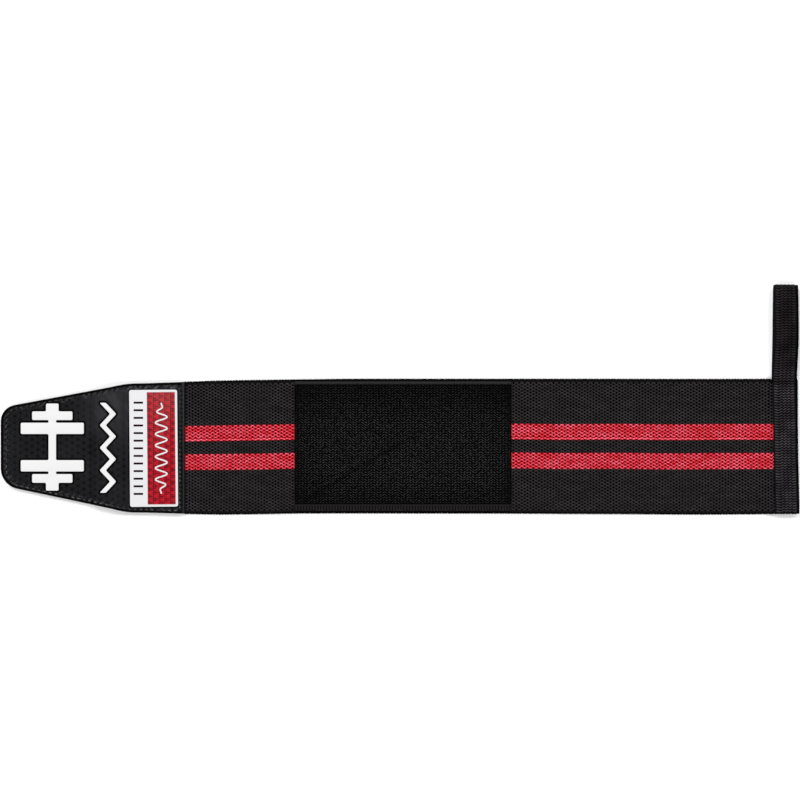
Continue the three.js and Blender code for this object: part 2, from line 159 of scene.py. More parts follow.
GAP_SHARES = (0.62, 1.15, 0.5)
HOLE_SIZE = (1.0 * MM, 0.95 * MM, 0.16 * MM)
LIP_GROOVE_WIDTH = 0.35 * MM
LIP_GROOVE_DEPTH = 0.35 * MM
RING_DEPTH = 0.12 * MM
PUCKER_LENGTH = 3.1 * MM
PUCKER_HEIGHT = 0.16 * MM
LOOSE_SWELL = 0.07 * MM
SHEET_SWELL = 0.04 * MM
LATTICE_FROM_SEAM = (0.5 * MM, 1.2 * MM)
LATTICE_FROM_EDGE = (2.4 * MM, 3.2 * MM)
LATTICE_FROM_PRINT = (0.2 * MM, 1.0 * MM)
PRINT_RING = (1.35 * MM, 0.95 * MM)
LABEL_RING = (0.9 * MM, 0.5 * MM)
RIM_SHADE = (1.75 * MM, 1.35 * MM)
PUCKER_REACH = (2.6 * MM, 1.0 * MM)
# Painted highlight on the raised end lip: how far it reaches from the end
LIP_HIGHLIGHT_REACH = (0.55 * MM, 0.35 * MM)

# Where the tab is stretched over the strap's tucked end, along from the tip and across
STRETCHED_ALONG = (50 * MM, 66 * MM)
STRETCHED_ACROSS = (-8 * MM, 12 * MM)
STRETCHED_SPOT = (62 * MM, 27 * MM)
STRETCHED_SPOT_REACH = (20 * MM, 6 * MM)
# Painted sheen on the smooth stretched part near the tucked end: along from the tip, across, and how strong
SHEEN_ALONG = (42 * MM, 64 * MM)
SHEEN_ACROSS = (-4 * MM, 22 * MM)
SHEEN_STRENGTH = 0.54

# Label
LABEL_SHIFT = (0.2 * MM, -0.2 * MM)
LABEL_EDGE = 0.18 * MM
FIELD_EDGE = 0.08 * MM
PRINT_EDGE = 0.16 * MM
FINE_NET_PITCH = 2.4 * MM
TICK_COUNT = 13
TICK_PITCH = 4.35 * MM
TICK_SIZE = (5.4 * MM, 1.15 * MM, 0.1 * MM)
TICK_INSET = 5.3 * MM
TICK_EDGE = 0.03 * MM
TICK_LIFT = 0.02 * MM
MARK_LENGTH = 52 * MM
MARK_SWING = 3.3 * MM
MARK_WAVE = 6.5 * MM
MARK_WIDTH = 0.85 * MM
MARK_THICKNESS = 0.08 * MM
MARK_LIFT = 0.05 * MM

# Loop patch
PATCH_OVERHANG_LEFT = 0.35 * MM
PATCH_OVERHANG_RIGHT = 0.65 * MM
PATCH_UPPER_SELVEDGE = 1.7 * MM
PATCH_LOWER_SELVEDGE = 3.6 * MM
PATCH_TAPE = 0.7 * MM
PATCH_ROLL = 0.3 * MM
PATCH_GRID = (236, 142)
CREASE_DEPTH = 0.35 * MM
CREASE_WIDTH = 7 * MM
CREASE_LINE_WIDTH = 0.7 * MM
PATCH_CREASES = (
    {"from_x": -0.45, "from_y": -0.42, "to_x": 0.0, "to_y": 0.03, "depth": 1.0},
    {"from_x": 0.0, "from_y": 0.03, "to_x": 0.35, "to_y": 0.36, "depth": 0.5},
    {"from_x": -0.44, "from_y": 0.40, "to_x": 0.42, "to_y": -0.43, "depth": 0.6},
)
PILE_BANDS = 36
PILE_MARGIN = 0.2 * MM
PILE_ROWS = 48
PILE_SLANT = 0.62
PILE_HEIGHT = 0.45 * MM
PILE_SPAN = 1.85 * MM
PILE_THREAD = 0.43 * MM
PILE_STEPS = 5
PILE_TURN_SPREAD = 0.12
PILE_GROWTH = (0.7, 1.15)
PILE_LEAN_SPREAD = 0.2
PILE_JITTER = 0.12
PILE_SINK = 0.4 * MM
PILE_FUZZ = 0.1 * MM
PILE_EDGE_RISE = (-0.3 * MM, 1.3 * MM)
PILE_DIM_ALONG = (38 * MM, 61 * MM)
PILE_DIM_UPWARDS = (8 * MM, 34 * MM)
PILE_DIM_DOWNWARDS = (14 * MM, 34 * MM)
PILE_DIM_SIDE = (0, 4.5 * MM)
PILE_DIM_LOWER_END = (-0.5 * MM, 2.5 * MM)
PILE_DIM_UPPER_END = (-0.5 * MM, 3.5 * MM)
PATCH_SEAM_TOP = (2.3 * MM, 3.1 * MM)
PATCH_STITCH_PITCH = WAVE_LENGTH / 2
PATCH_STITCH_INSET = 0.15 * MM
PATCH_STITCH_HEIGHT = 0.45 * MM

# Thumb loop tape
TAPE_WIDTH = 14 * MM
TAPE_THICKNESS = 1.2 * MM
TAPE_CORE = 0.7 * MM
RIB_PITCH = 1.53 * MM
RIB_WIDTH = 0.58
RIB_BREAKS = (3.4, 5.55, 7.75, 9.95)
RIB_BREAK_DEPTH = 0.6
RIB_HEIGHT = 0.36 * MM
RIB_STEP = 0.42 * MM
RIB_BREAK_WIDTH = 0.4 * MM
RIB_DRIFT = 0.4 * MM
RIB_FADE = 0.8 * MM
RIB_LIFT = 0.05 * MM
RIB_LINE = (
    {"across": 1.1, "lead": 0.0},
    {"across": 3.4, "lead": 0.4},
    {"across": 5.3, "lead": -0.6},
    {"across": 5.8, "lead": 0.35},
    {"across": 7.5, "lead": -0.6},
    {"across": 8.0, "lead": 0.35},
    {"across": 9.7, "lead": -0.6},
    {"across": 10.2, "lead": 0.2},
    {"across": 12.1, "lead": -0.2},
)
RIB_LEFT_MARGIN = 0.7 * MM
RIB_RIGHT_MARGIN = 1.7 * MM
LAYER_GAP = 0.3 * MM
LOOP_RISE_LENGTH = 20 * MM
TAPE_SWELL = 0.14 * MM
TAPE_EDGE = 0.2 * MM
TAPE_STITCH_PITCH = 2.3 * MM
TAPE_STITCH_INSET = 4.0 * MM
TAPE_STITCH_HEIGHT = 0.1 * MM
TAPE_SEAM_REACH = (-4.4 * MM, 1.6 * MM)
TAPE_DIM_LOOP = (36 * MM, 48 * MM)
# Painted shadow across the tape where it passes over the strap's edge, fading in and out
TAPE_SHADOW_START = (35 * MM, 36 * MM)
TAPE_SHADOW_END = (37.4 * MM, 38.4 * MM)
TAPE_PALE_LEFT = (-5.6 * MM, -1.8 * MM)
TAPE_PALE_RIGHT = (2.8 * MM, 4.8 * MM)
TAPE_SELVEDGE = (5.0 * MM, 5.4 * MM)
TAPE_RIM = (5.6 * MM, 6.0 * MM)
FLOOR_CLEARANCE = 0.02 * MM

# Hook fastener under the tab
HOOK_BASE_THICKNESS = 0.7 * MM
HOOK_PITCH = 1.7 * MM
HOOK_THREAD = 0.2 * MM
HOOK_MARGIN = 2.2 * MM
HOOK_STEPS = (
    {"along": 0.0, "down": 0.0, "turn": 0.0},
    {"along": 0.0, "down": 0.35, "turn": 0.0},
    {"along": 0.02, "down": 0.58, "turn": 0.35},
    {"along": 0.12, "down": 0.74, "turn": 0.95},
    {"along": 0.28, "down": 0.72, "turn": 1.7},
    {"along": 0.36, "down": 0.58, "turn": 2.5},
    {"along": 0.34, "down": 0.46, "turn": 3.1},
)

random.seed(7)


# Modelling helpers


def take(obj):
    bpy.ops.object.select_all(action="DESELECT")
    obj.select_set(True)
    bpy.context.view_layer.objects.active = obj
    return obj


def added(name):
    """The primitive that was just added, under its name and alone selected."""
    obj = bpy.context.active_object
    obj.name = name
    obj.data.name = name
    return take(obj)


def finish_with(obj, kind, **settings):
    """Adds a modifier with its settings and applies it."""
    modifier = obj.modifiers.new(kind.lower(), kind)
    for setting, value in settings.items():
        setattr(modifier, setting, value)
    take(obj)
    bpy.ops.object.modifier_apply(modifier=modifier.name)
    return obj


def points_of(obj):
    co = np.empty(len(obj.data.vertices) * 3)
    obj.data.vertices.foreach_get("co", co)
    return co.reshape(-1, 3)


def mould(obj, shape):
    """Moves every vertex to where shape puts it."""
    co = shape(points_of(obj))
    obj.data.vertices.foreach_set("co", np.ascontiguousarray(co).ravel())
    obj.data.update()
    return obj


def in_edit(obj, *steps):
    take(obj)
    bpy.ops.object.mode_set(mode="EDIT")
    for step in steps:
        step()
    bpy.ops.object.mode_set(mode="OBJECT")
    return obj


def smooth(obj, angle=None):
    take(obj)
    if angle is None:
        bpy.ops.object.shade_smooth()
    else:
        bpy.ops.object.shade_smooth_by_angle(angle=math.radians(angle))
    return obj


def all_selected():
    bpy.ops.mesh.select_all(action="SELECT")


def none_selected():
    bpy.ops.mesh.select_all(action="DESELECT")


def face_outwards(obj):
    return in_edit(obj, all_selected, lambda: bpy.ops.mesh.normals_make_consistent(inside=False))


def repeat(obj, count, offset, **merging):
    """Repeats a mesh by an array of copies, each an offset on from the last."""
    return finish_with(
        obj,
        "ARRAY",
        count=count,
        use_relative_offset=False,
        use_constant_offset=True,
        constant_offset_displace=offset,
        **merging,
    )


def extrude_rim(obj, depth):
    """Extrudes the open rim of a sheet downwards and leaves nothing selected."""
    return in_edit(
        obj,
        lambda: bpy.ops.mesh.select_mode(type="EDGE"),
        none_selected,
        lambda: bpy.ops.mesh.select_non_manifold(),
        lambda: bpy.ops.mesh.extrude_edges_move(TRANSFORM_OT_translate={"value": (0, 0, -depth)}),
        none_selected,
    )


def thickened(obj, thickness):
    """Gives a sheet its thickness below the face that it has."""
    finish_with(obj, "SOLIDIFY", thickness=thickness, offset=-1)
    return face_outwards(obj)


def prism(name, sides, radius, steps):
    """A straight thread of short stages of a millimetre, with the stage of each vertex."""
    bpy.ops.mesh.primitive_circle_add(vertices=sides, radius=radius, fill_type="NGON")
    obj = added(name)
    in_edit(obj, all_selected)
    for _ in range(steps):
        in_edit(
            obj, lambda: bpy.ops.mesh.extrude_region_move(TRANSFORM_OT_translate={"value": (0, 0, MM)})
        )
    return obj, np.round(points_of(obj)[:, 2] / MM).astype(int)


def placed_copy(obj, matrix):
    """A copy of an object with its own mesh, moved in the mesh itself."""
    copy = obj.copy()
    copy.data = obj.data.copy()
    copy.data.transform(matrix)
    bpy.context.collection.objects.link(copy)
    return copy


def flat_grid(name, steps_x, steps_y):
    bpy.ops.mesh.primitive_grid_add(x_subdivisions=steps_x, y_subdivisions=steps_y, size=1)
    return added(name)


def keep_attribute(obj, name, values):
    attribute = obj.data.attributes.new(name, "FLOAT", "POINT")
    attribute.data.foreach_set("value", np.asarray(values, np.float32))


def smooth_step(low, high, x):
    t = np.clip((x - low) / (high - low), 0, 1)
    return t * t * (3 - 2 * t)


def distance_to_line(x, y, line):
    """Distance of each point to a polyline."""
    best = np.full(len(x), 1e9)
    for (ax, ay), (bx, by) in zip(line[:-1], line[1:]):
        dx, dy = bx - ax, by - ay
        t = np.clip(((x - ax) * dx + (y - ay) * dy) / max(dx * dx + dy * dy, 1e-18), 0, 1)
        best = np.minimum(best, np.hypot(x - ax - t * dx, y - ay - t * dy))
    return best


def ripple(x, y, length, seed):
    """A soft irregular wave from -1 to 1 over the plane, the same each run."""
    total = 0
    for turn, share in ((0.0, 1.0), (1.1, 0.83), (2.3, 1.21), (4.0, 0.67)):
        along = x * math.cos(turn + seed) + y * math.sin(turn + seed)
        total = total + np.sin(2 * math.pi * along * share / length + seed * 5 + turn * 3)
    return total / 4


# Forms read from the frame


def profile_of(node):
    """Edges, underside and top of a node at each of its stations along X."""
    co = points_of(frame["nodes"][node])
    places = np.unique(co[:, 0].round(6))
    rows = [co[np.abs(co[:, 0] - place) < 2e-6] for place in places]
    return {
        "x": places,
        "lower": np.array([row[:, 1].min() for row in rows]),
        "upper": np.array([row[:, 1].max() for row in rows]),
        "base": np.array([row[:, 2].min() for row in rows]),
        "top": np.array([row[:, 2].max() for row in rows]),
    }


def along(profile, key, x):
    return np.interp(x, profile["x"], profile[key])


def flat_size(profile):
    """Width, length and area of a tapered sheet laid flat."""
    x = np.linspace(profile["x"][0], profile["x"][-1], 200)
    area = np.trapz(along(profile, "upper", x) - along(profile, "lower", x), x)
    wide = (profile["upper"] - profile["lower"]).max()
    return (float(wide), float(x[-1] - x[0])), float(area)


STRAP = profile_of("strap")
FACING = profile_of("tab_facing")
HOOKS = profile_of("hook_panel")

TIP_X = FACING["x"][0]
TAB_END_X = FACING["x"][-1]
STRAP_START_X = STRAP["x"][0]
STRAP_END_X = STRAP["x"][-1]
PATCH_LOW, PATCH_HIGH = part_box("loop_patch")
PATCH_LOW.x -= PATCH_OVERHANG_LEFT
PATCH_HIGH.x += PATCH_OVERHANG_RIGHT
TAPE_LOW, TAPE_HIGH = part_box("thumb_loop")
LABEL_LOW, LABEL_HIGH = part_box("label_plate")
LABEL_SIDE_GAP = TAB_END_X - LABEL_HIGH.x
PILE_LOW_Y = PATCH_LOW.y + PATCH_LOWER_SELVEDGE
PILE_HIGH_Y = PATCH_HIGH.y - PATCH_UPPER_SELVEDGE
PILE_PITCH = (PILE_HIGH_Y - PILE_LOW_Y) / PILE_ROWS
PILE_START_X = PATCH_LOW.x + PILE_MARGIN
PILE_BAND = (PATCH_HIGH.x - PILE_MARGIN - PILE_START_X) / PILE_BANDS
PILE_COLUMN = PILE_BAND / 2
PILE_FALL = PILE_BAND * math.tan(PILE_SLANT)


def on_strap(co):
    """Lays a form made flat, x along and y across the nominal strap, on the strap's true form."""
    x, y, z = co.T
    lower, upper = along(STRAP, "lower", x), along(STRAP, "upper", x)
    share = y / STRAP_WIDTH + 0.5
    inside = np.clip(1 - np.abs(2 * share - 1) ** 6, 0, 1)
    wobble = WOBBLE * ripple(x, y * 0.4, 61 * MM, 0.4) * inside
    return np.column_stack([x, lower + share * (upper - lower) + wobble, along(STRAP, "base", x) + z])


# Webbing


def yarn_rows(name, low_x, high_x, rows, pitch, width, height, step):
    """Straight closed threads along X, each so many pitches below y = 0, and the vertex count of one."""
    count = max(1, round((high_x - low_x) / step))
    stage = ((high_x - low_x) / count, 0, 0)
    bpy.ops.mesh.primitive_circle_add(
        vertices=YARN_SIDES, radius=0.5, location=(0, 0, 0), rotation=(math.pi / 2, 0, math.pi / 2)
    )
    obj = added(name)
    bpy.ops.transform.rotate(value=math.pi / YARN_SIDES, orient_axis="X", center_override=(0, 0, 0))
    bpy.ops.object.transform_apply(location=True, rotation=True, scale=True)
    mould(obj, lambda co: co * (0, width, height) + (low_x, 0, 0))
    in_edit(
        obj,
        all_selected,
        lambda: bpy.ops.mesh.extrude_edges_move(TRANSFORM_OT_translate={"value": stage}),
    )
    repeat(obj, count, stage, use_merge_vertices=True, merge_threshold=MERGE_DISTANCE)
    in_edit(
        obj,
        all_selected,
        lambda: bpy.ops.mesh.fill_holes(sides=0),
        lambda: bpy.ops.mesh.normals_make_consistent(inside=False),
    )
    size = len(obj.data.vertices)
    copies = [placed_copy(obj, Matrix.Translation((0, -row * pitch, 0))) for row in rows]
    bpy.data.objects.remove(obj)
    return joined(name, copies), size


def joined(name, objects):
    bpy.ops.object.select_all(action="DESELECT")
    for obj in objects:
        obj.select_set(True)
    bpy.context.view_layer.objects.active = objects[0]
    if len(objects) > 1:
        bpy.ops.object.join()
    return added(name)


def weave(name, low_x, high_x, rows):
    """Rows of yarn that wave in step, with open pits at every bend; the edge rows are straight cords."""
    top_row = STRAP_WIDTH / 2 - ROW_PITCH / 2
    obj, size = yarn_rows(
        name,
        low_x,
        high_x,
        rows,
        ROW_PITCH,
        ROW_PITCH * YARN_WIDTH,
        YARN_HEIGHT * 2,
        WAVE_LENGTH / WAVE_STEPS,
    )
    row_of = np.repeat(np.array(rows, float), size)
    side = np.where(row_of == 0, 1.0, np.where(row_of == WEBBING_ROWS - 1, -1.0, 0.0))
    cord = np.abs(side)
    share = np.where(row_of == FLAT_ROW, FLAT_ROW_SWING, 1 - cord * (1 - EDGE_CORD_SWING))
    swing = share * WAVE_SWING * ROW_PITCH
    turn = 2 * math.pi / WAVE_LENGTH
    straight = points_of(obj)
    bend = np.sin(straight[:, 0] * turn) ** 2
    # The rise mark, the height within the row, drives painted shade on the yarn's low sides; on the slopes
    # it is raised so that the shade gathers at the bends
    slope_rise = np.where(np.isin(row_of, RED_ROWS), RED_SLOPE_RISE, BLACK_SLOPE_RISE)
    rise = np.clip(straight[:, 2] / YARN_HEIGHT * 0.5 + 0.5, 0, 1) + slope_rise * (1 - bend)
    # Painted shadow on the rows just past the tab's end, and painted shade in the two lines beside the fold
    shown = smooth_step(TAB_SHADE_NEAR, TAB_SHADE_FAR, straight[:, 0] - TAB_END_X)
    shown *= 1 - END_FOLD_SHADE * fold_dip(straight[:, 0], top_row - row_of * ROW_PITCH)
    # Painted shade along the outer side of each edge cord
    outwards = side * (straight[:, 1] + row_of * ROW_PITCH) / (ROW_PITCH * YARN_WIDTH)
    cord_rise = EDGE_CORD_RISE * (1 - smooth_step(*EDGE_CORD_SHADE_LINE, outwards))
    keep_attribute(obj, "rise", (rise * (1 - cord) + cord_rise * cord) * shown)
    keep_attribute(obj, "bend", bend)

    def wavy(co):
        start, y, z = co.T
        from_middle = y + row_of * ROW_PITCH
        phase = start * turn
        ends = smooth_step(0, ROW_END_LENGTH, np.minimum(start - low_x, high_x - start))
        x = start + ROW_DRIFT * ripple(start, row_of * ROW_PITCH, 37 * MM, 1.7) * ends
        slope = swing * turn * np.cos(phase)
        tight = np.sin(phase) ** 4
        widen = np.hypot(1, slope) * (1 - YARN_NARROWING * tight * np.minimum(1, share + 0.2))
        widen *= 1 - cord * (1 - EDGE_CORD_WIDTH / (ROW_PITCH * YARN_WIDTH))
        centre = top_row - row_of * ROW_PITCH + swing * np.sin(phase)
        lift = ROW_LIFT * tight + ROW_LIFT * ripple(x, row_of * ROW_PITCH, 19 * MM, 2.9)
        lift -= cord * EDGE_CORD_DROP
        lift += end_fold(x, centre)
        height = CORE_TOP + YARN_HEIGHT * 0.5 + lift
        return on_strap(np.column_stack([x, centre + from_middle * widen, z + height]))

    mould(obj, wavy)
    return smooth(obj)


def fold_dip(x, y):
    """How deep, from 0 to 1, a point lies in the two lines beside the soft fold next to the tape."""
    from_line = np.abs(x - END_FOLD_X) - END_FOLD_HALF_WIDTH
    fade = smooth_step(END_FOLD_LOW_Y, END_FOLD_HIGH_Y, y)
    return np.exp(-((from_line / END_FOLD_LINE_WIDTH) ** 2)) * fade


def end_fold(x, y):
    """Height of the soft fold that runs down the strap beside the tape, from its upper edge."""
    fade = smooth_step(END_FOLD_LOW_Y, END_FOLD_HIGH_Y, y)
    ridge = np.exp(-(((x - END_FOLD_X) / END_FOLD_WIDTH) ** 2)) * fade
    return END_FOLD_HEIGHT * (ridge - fold_dip(x, y))


def strap_core():
    """The plain core that shows between the rows and on the underside."""
    obj = flat_grid("strap_core", 150, 24)
    across = points_of(obj)[:, 1] * (STRAP_WIDTH - ROW_PITCH * 0.7)
    keep_attribute(obj, "across", across)

    def laid(co):
        x = STRAP_START_X + (co[:, 0] + 0.5) * (STRAP_END_X - STRAP_START_X)
        return on_strap(np.column_stack([x, across, np.full(len(co), CORE_TOP)]))

    mould(obj, laid)
    return smooth(thickened(obj, CORE_TOP - CORE_BOTTOM), 40)


# Closed sheets with a fine upper face


def close_under(obj, base):
    """Closes a grid from below: walls down to base(x) and an underside bridged from side to side."""
    low_x, high_x = points_of(obj)[:, 0].min(), points_of(obj)[:, 0].max()
    first_new = len(obj.data.vertices)
    extrude_rim(obj, MM)
    co = points_of(obj)
    co[first_new:, 2] = base(co[first_new:, 0])
    obj.data.vertices.foreach_set("co", co.ravel())
    at_end = (np.abs(co[:, 0] - low_x) < 1e-7) | (np.abs(co[:, 0] - high_x) < 1e-7)
    for edge in obj.data.edges:
        a, b = edge.vertices
        edge.select = a >= first_new and b >= first_new and not (at_end[a] and at_end[b])
    in_edit(obj, lambda: bpy.ops.mesh.bridge_edge_loops(), none_selected)
    corners = set()
    for x in (low_x, high_x):
        ends = [i for i in range(first_new, len(co)) if abs(co[i, 0] - x) < 1e-7]
        corners |= {min(ends, key=lambda i: co[i, 1]), max(ends, key=lambda i: co[i, 1])}
    take(obj)
    for vertex in obj.data.vertices:
        i = vertex.index
        vertex.select = bool(i >= first_new and at_end[i] and i not in corners)
    in_edit(
        obj,
        lambda: bpy.ops.mesh.select_mode(type="VERT"),
        lambda: bpy.ops.mesh.dissolve_verts(),
    )
    return face_outwards(obj)


# Tab


def tab_outline(steps=120):
    """The facing's outline from its lower end corner, round the tip, to its upper end corner."""
    x = TIP_X + (TAB_END_X - TIP_X) * np.linspace(0, 1, steps) ** 1.6
    lower = np.column_stack([x, along(FACING, "lower", x)])
    upper = np.column_stack([x, along(FACING, "upper", x)])
    return np.vstack([lower[::-1], upper])


def tab_seam(further=0.0):
    """The stitched line inside that outline, further in at the tip than along the sides."""
    line = tab_outline()
    ahead = np.gradient(line, axis=0)
    ahead /= np.linalg.norm(ahead, axis=1)[:, None] + 1e-12
    inward = np.column_stack([ahead[:, 1], -ahead[:, 0]])
    inset = SEAM_SIDE_INSET + (SEAM_TIP_INSET - SEAM_SIDE_INSET) * inward[:, 0] ** 2 + further
    moved = line + inward * inset[:, None]
    return moved[moved[:, 0] < TAB_END_X - SEAM_END_INSET]


def end_seam(inset=SEAM_END_INSET):
    """The straight seam along the tab's wide end."""
    x = TAB_END_X - inset
    low = along(FACING, "lower", x) + SEAM_SIDE_INSET
    high = along(FACING, "upper", x) - SEAM_SIDE_INSET
    return np.array([[x, low], [x, high]])


def emboss_lines(x, y):
    """Depth from 0 to 1 of the pressed lines of a lattice of triangles, one family upright."""
    total = 0
    for turn in EMBOSS_TURNS:
        across = x * math.cos(turn) + y * math.sin(turn)
        gap = np.abs((across / EMBOSS_PITCH + 0.5) % 1 - 0.5) * EMBOSS_PITCH
        total = total + np.exp(-((gap / EMBOSS_GROOVE) ** 2))
    return np.clip(total / 1.9, 0, 1.25)


def emboss_strength(x, y):
    """How crisp the lattice is: it fades where the sheet is stretched over the strap's tucked end."""
    start, end = (TIP_X + place for place in STRETCHED_ALONG)
    fade = smooth_step(start, end, x) * smooth_step(*STRETCHED_ACROSS, y)
    from_spot = np.hypot(x - TIP_X - STRETCHED_SPOT[0], y - STRETCHED_SPOT[1])
    spot = smooth_step(*STRETCHED_SPOT_REACH, from_spot)
    return np.clip(1 - 0.75 * fade - 0.8 * spot, 0.06, 1)


def tab_leather():
    """The embossed sheet: lattice, stitched grooves, lip, gathers, and a dip round each print."""
    obj = flat_grid("tab_leather", 262, 166)
    outline = np.vstack([tab_outline(), tab_outline()[:1]])
    seams = (tab_seam(), end_seam())
    prints = [line for node in ("emblem", "emblem_zigzag") for line in outlines_of(node)]
    label = outlines_of("label_plate")
    marks = {}

    def pressed(co):
        share = co[:, 0] + 0.5
        x = TIP_X + (TAB_END_X - TIP_X) * (0.75 * share + 0.25 * share**2.2)
        lower, upper = along(FACING, "lower", x), along(FACING, "upper", x)
        y = lower + (co[:, 1] + 0.5) * (upper - lower)
        edge = distance_to_line(x, y, outline)
        roll = np.clip(1 - edge / LEATHER_EDGE_ROLL, 0, 1)
        seam = np.minimum(*(distance_to_line(x, y, line) for line in seams))
        lip = TAB_END_X - x
        print_edge = np.min([distance_to_line(x, y, line) for line in prints], axis=0)
        label_edge = np.min([distance_to_line(x, y, line + LABEL_SHIFT) for line in label], axis=0)
        inner = smooth_step(*LATTICE_FROM_SEAM, seam) * smooth_step(*LATTICE_FROM_EDGE, edge)
        inner *= smooth_step(*LATTICE_FROM_PRINT, np.minimum(print_edge, label_edge))
        groove = np.exp(-((seam / SEAM_GROOVE_WIDTH) ** 2))
        lip_groove = np.exp(-(((lip - END_LIP) / LIP_GROOVE_WIDTH) ** 2))
        ring = smooth_step(*PRINT_RING, print_edge)
        ring = np.maximum(ring, smooth_step(*LABEL_RING, label_edge) * (y < LABEL_HIGH.y))
        lattice = emboss_strength(x, y) * inner
        drop = LEATHER_EDGE_ROLL * (1 - np.sqrt(np.clip(1 - roll**2, 0, 1)))
        drop += EMBOSS_DEPTH * emboss_lines(x, y) * lattice
        drop += SEAM_GROOVE_DEPTH * groove + LIP_GROOVE_DEPTH * lip_groove + RING_DEPTH * ring
        drop += LOOSE_SWELL * ripple(x, y, 8 * MM, 3.3) * (1 - emboss_strength(x, y)) * inner
        drop += SHEET_SWELL * ripple(x, y, 31 * MM, 0.9)
        rim = smooth_step(*RIM_SHADE, edge) * (lip > END_LIP)
        gathers = ripple(x, y, PUCKER_LENGTH, 1.3) * 0.5 + ripple(x, y, PUCKER_LENGTH * 0.55, 4.4) * 0.5
        near = smooth_step(*PUCKER_REACH, seam) * (lip > LABEL_SIDE_GAP) * 0.5
        over_label = smooth_step(LABEL_LOW.x - 3 * MM, LABEL_LOW.x, x) * (y > LABEL_HIGH.y)
        near = np.maximum(near, over_label * (lip > END_LIP * 2))
        drop -= PUCKER_HEIGHT * gathers * near
        marks["lattice"] = lattice
        end = smooth_step(LABEL_SIDE_GAP, LABEL_SIDE_GAP - 0.4 * MM, lip)
        marks["shade"] = np.clip(groove * 0.45 + end * 0.15 + ring + rim + near * 0.35, 0, 1)
        # Painted highlights on the raised gathers beside the seams and above the label
        marks["pucker"] = np.clip(gathers * 2.2, 0, 1) * near * (1 - ring) * (rim < 0.5)
        # Painted highlight along the raised lip at the tab's end
        marks["worn"] = smooth_step(*LIP_HIGHLIGHT_REACH, lip)
        return np.column_stack([x, y, along(FACING, "top", x) - drop])

    mould(obj, pressed)
    for name, values in marks.items():
        keep_attribute(obj, name, values)
    close_under(obj, lambda x: along(FACING, "base", x))
    return smooth(obj, 60)


def outlines_of(node):
    """The edges round a flat node's upper face, each as a line of two points."""
    mesh = frame["nodes"][node].data
    top = max(vertex.co.z for vertex in mesh.vertices)
    uses = {}
    for face in mesh.polygons:
        if all(mesh.vertices[i].co.z > top - 1e-6 for i in face.vertices):
            for pair in face.edge_keys:
                key = tuple(sorted(mesh.vertices[i].co.xy.to_tuple(6) for i in pair))
                uses[key] = uses.get(key, 0) + 1
    return [np.array(key) for key, count in uses.items() if count == 1]


def spaced(line, pitch):
    """Places and directions a pitch apart along a polyline."""
    line = np.asarray(line, float)
    step = np.linalg.norm(np.diff(line, axis=0), axis=1)
    run = np.concatenate([[0], np.cumsum(step)])
    count = int(run[-1] // pitch)
    at = (run[-1] - count * pitch) / 2 + pitch * (np.arange(count) + 0.5)
    place = np.column_stack([np.interp(at, run, line[:, axis]) for axis in (0, 1)])
    before = np.column_stack([np.interp(at - 0.3 * MM, run, line[:, axis]) for axis in (0, 1)])
    after = np.column_stack([np.interp(at + 0.3 * MM, run, line[:, axis]) for axis in (0, 1)])
    return place, np.arctan2(*(after - before).T[::-1])


def one_stitch():
    """A short thread, round and dipping at both ends."""
    bpy.ops.mesh.primitive_uv_sphere_add(segments=10, ring_count=7, radius=0.5, rotation=(0, math.pi / 2, 0))
    obj = added("stitch")
    bpy.ops.object.transform_apply(location=False, rotation=True, scale=True)

    def drawn(co):
        x, y, z = co.T
        full = np.sign(x) * np.abs(2 * x) ** 0.6 / 2
        dip = STITCH_THICKNESS * 0.9 * (2 * np.abs(full)) ** 3
        return np.column_stack([full * STITCH_LENGTH, y * STITCH_THICKNESS, z * STITCH_THICKNESS - dip])

    return mould(obj, drawn)


def one_overcast():
    """A short thick thread end that laps over an edge."""
    return mould(one_stitch(), lambda co: co * OVERCAST_SHARES)


def one_gap_shade():
    """A dark slanted blob, painted shade in the gap between two stitches."""
    return mould(one_stitch(), lambda co: co * GAP_SHARES)


def one_hole_shade():
    """A low dark dome, painted shade for the mouth of a needle hole."""
    bpy.ops.mesh.primitive_uv_sphere_add(segments=8, ring_count=5, radius=0.5)
    return mould(added("hole"), lambda co: co * HOLE_SIZE)


def sew(name, lines, height, pitch=STITCH_PITCH, make=one_stitch, between=False, lean=0.0):
    """One stitch, gap or hole repeated along the lines at height(x, y), at or between the stitches."""
    stitch = make()
    copies = []
    for line in lines:
        places, angles = spaced(line, pitch)
        if between:
            places, angles = (places[:-1] + places[1:]) / 2, angles[:-1]
        for (x, y), angle in zip(places, angles):
            z = float(height(np.array([x]), np.array([y]))[0])
            turn = angle + lean + random.uniform(-STITCH_WANDER, STITCH_WANDER)
            matrix = Matrix.Translation((x, y, z)) @ Matrix.Rotation(turn, 4, "Z")
            copies.append(placed_copy(stitch, matrix))
    bpy.data.objects.remove(stitch)
    return smooth(joined(name, copies))


# Label and prints


def softened(name, node, edge, segments=3):
    """A copy of a flat node with its flat faces whole and its edges rounded."""
    obj = placed_copy(frame["nodes"][node], Matrix.Identity(4))
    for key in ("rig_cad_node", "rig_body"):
        if key in obj:
            del obj[key]
    obj.parent = None
    obj = joined(name, [obj])
    in_edit(
        obj,
        all_selected,
        lambda: bpy.ops.mesh.remove_doubles(threshold=MERGE_DISTANCE),
        lambda: bpy.ops.mesh.dissolve_limited(angle_limit=math.radians(1)),
    )
    finish_with(
        obj, "BEVEL", width=edge, segments=segments, limit_method="ANGLE", angle_limit=math.radians(50)
    )
    return smooth(obj, 35)


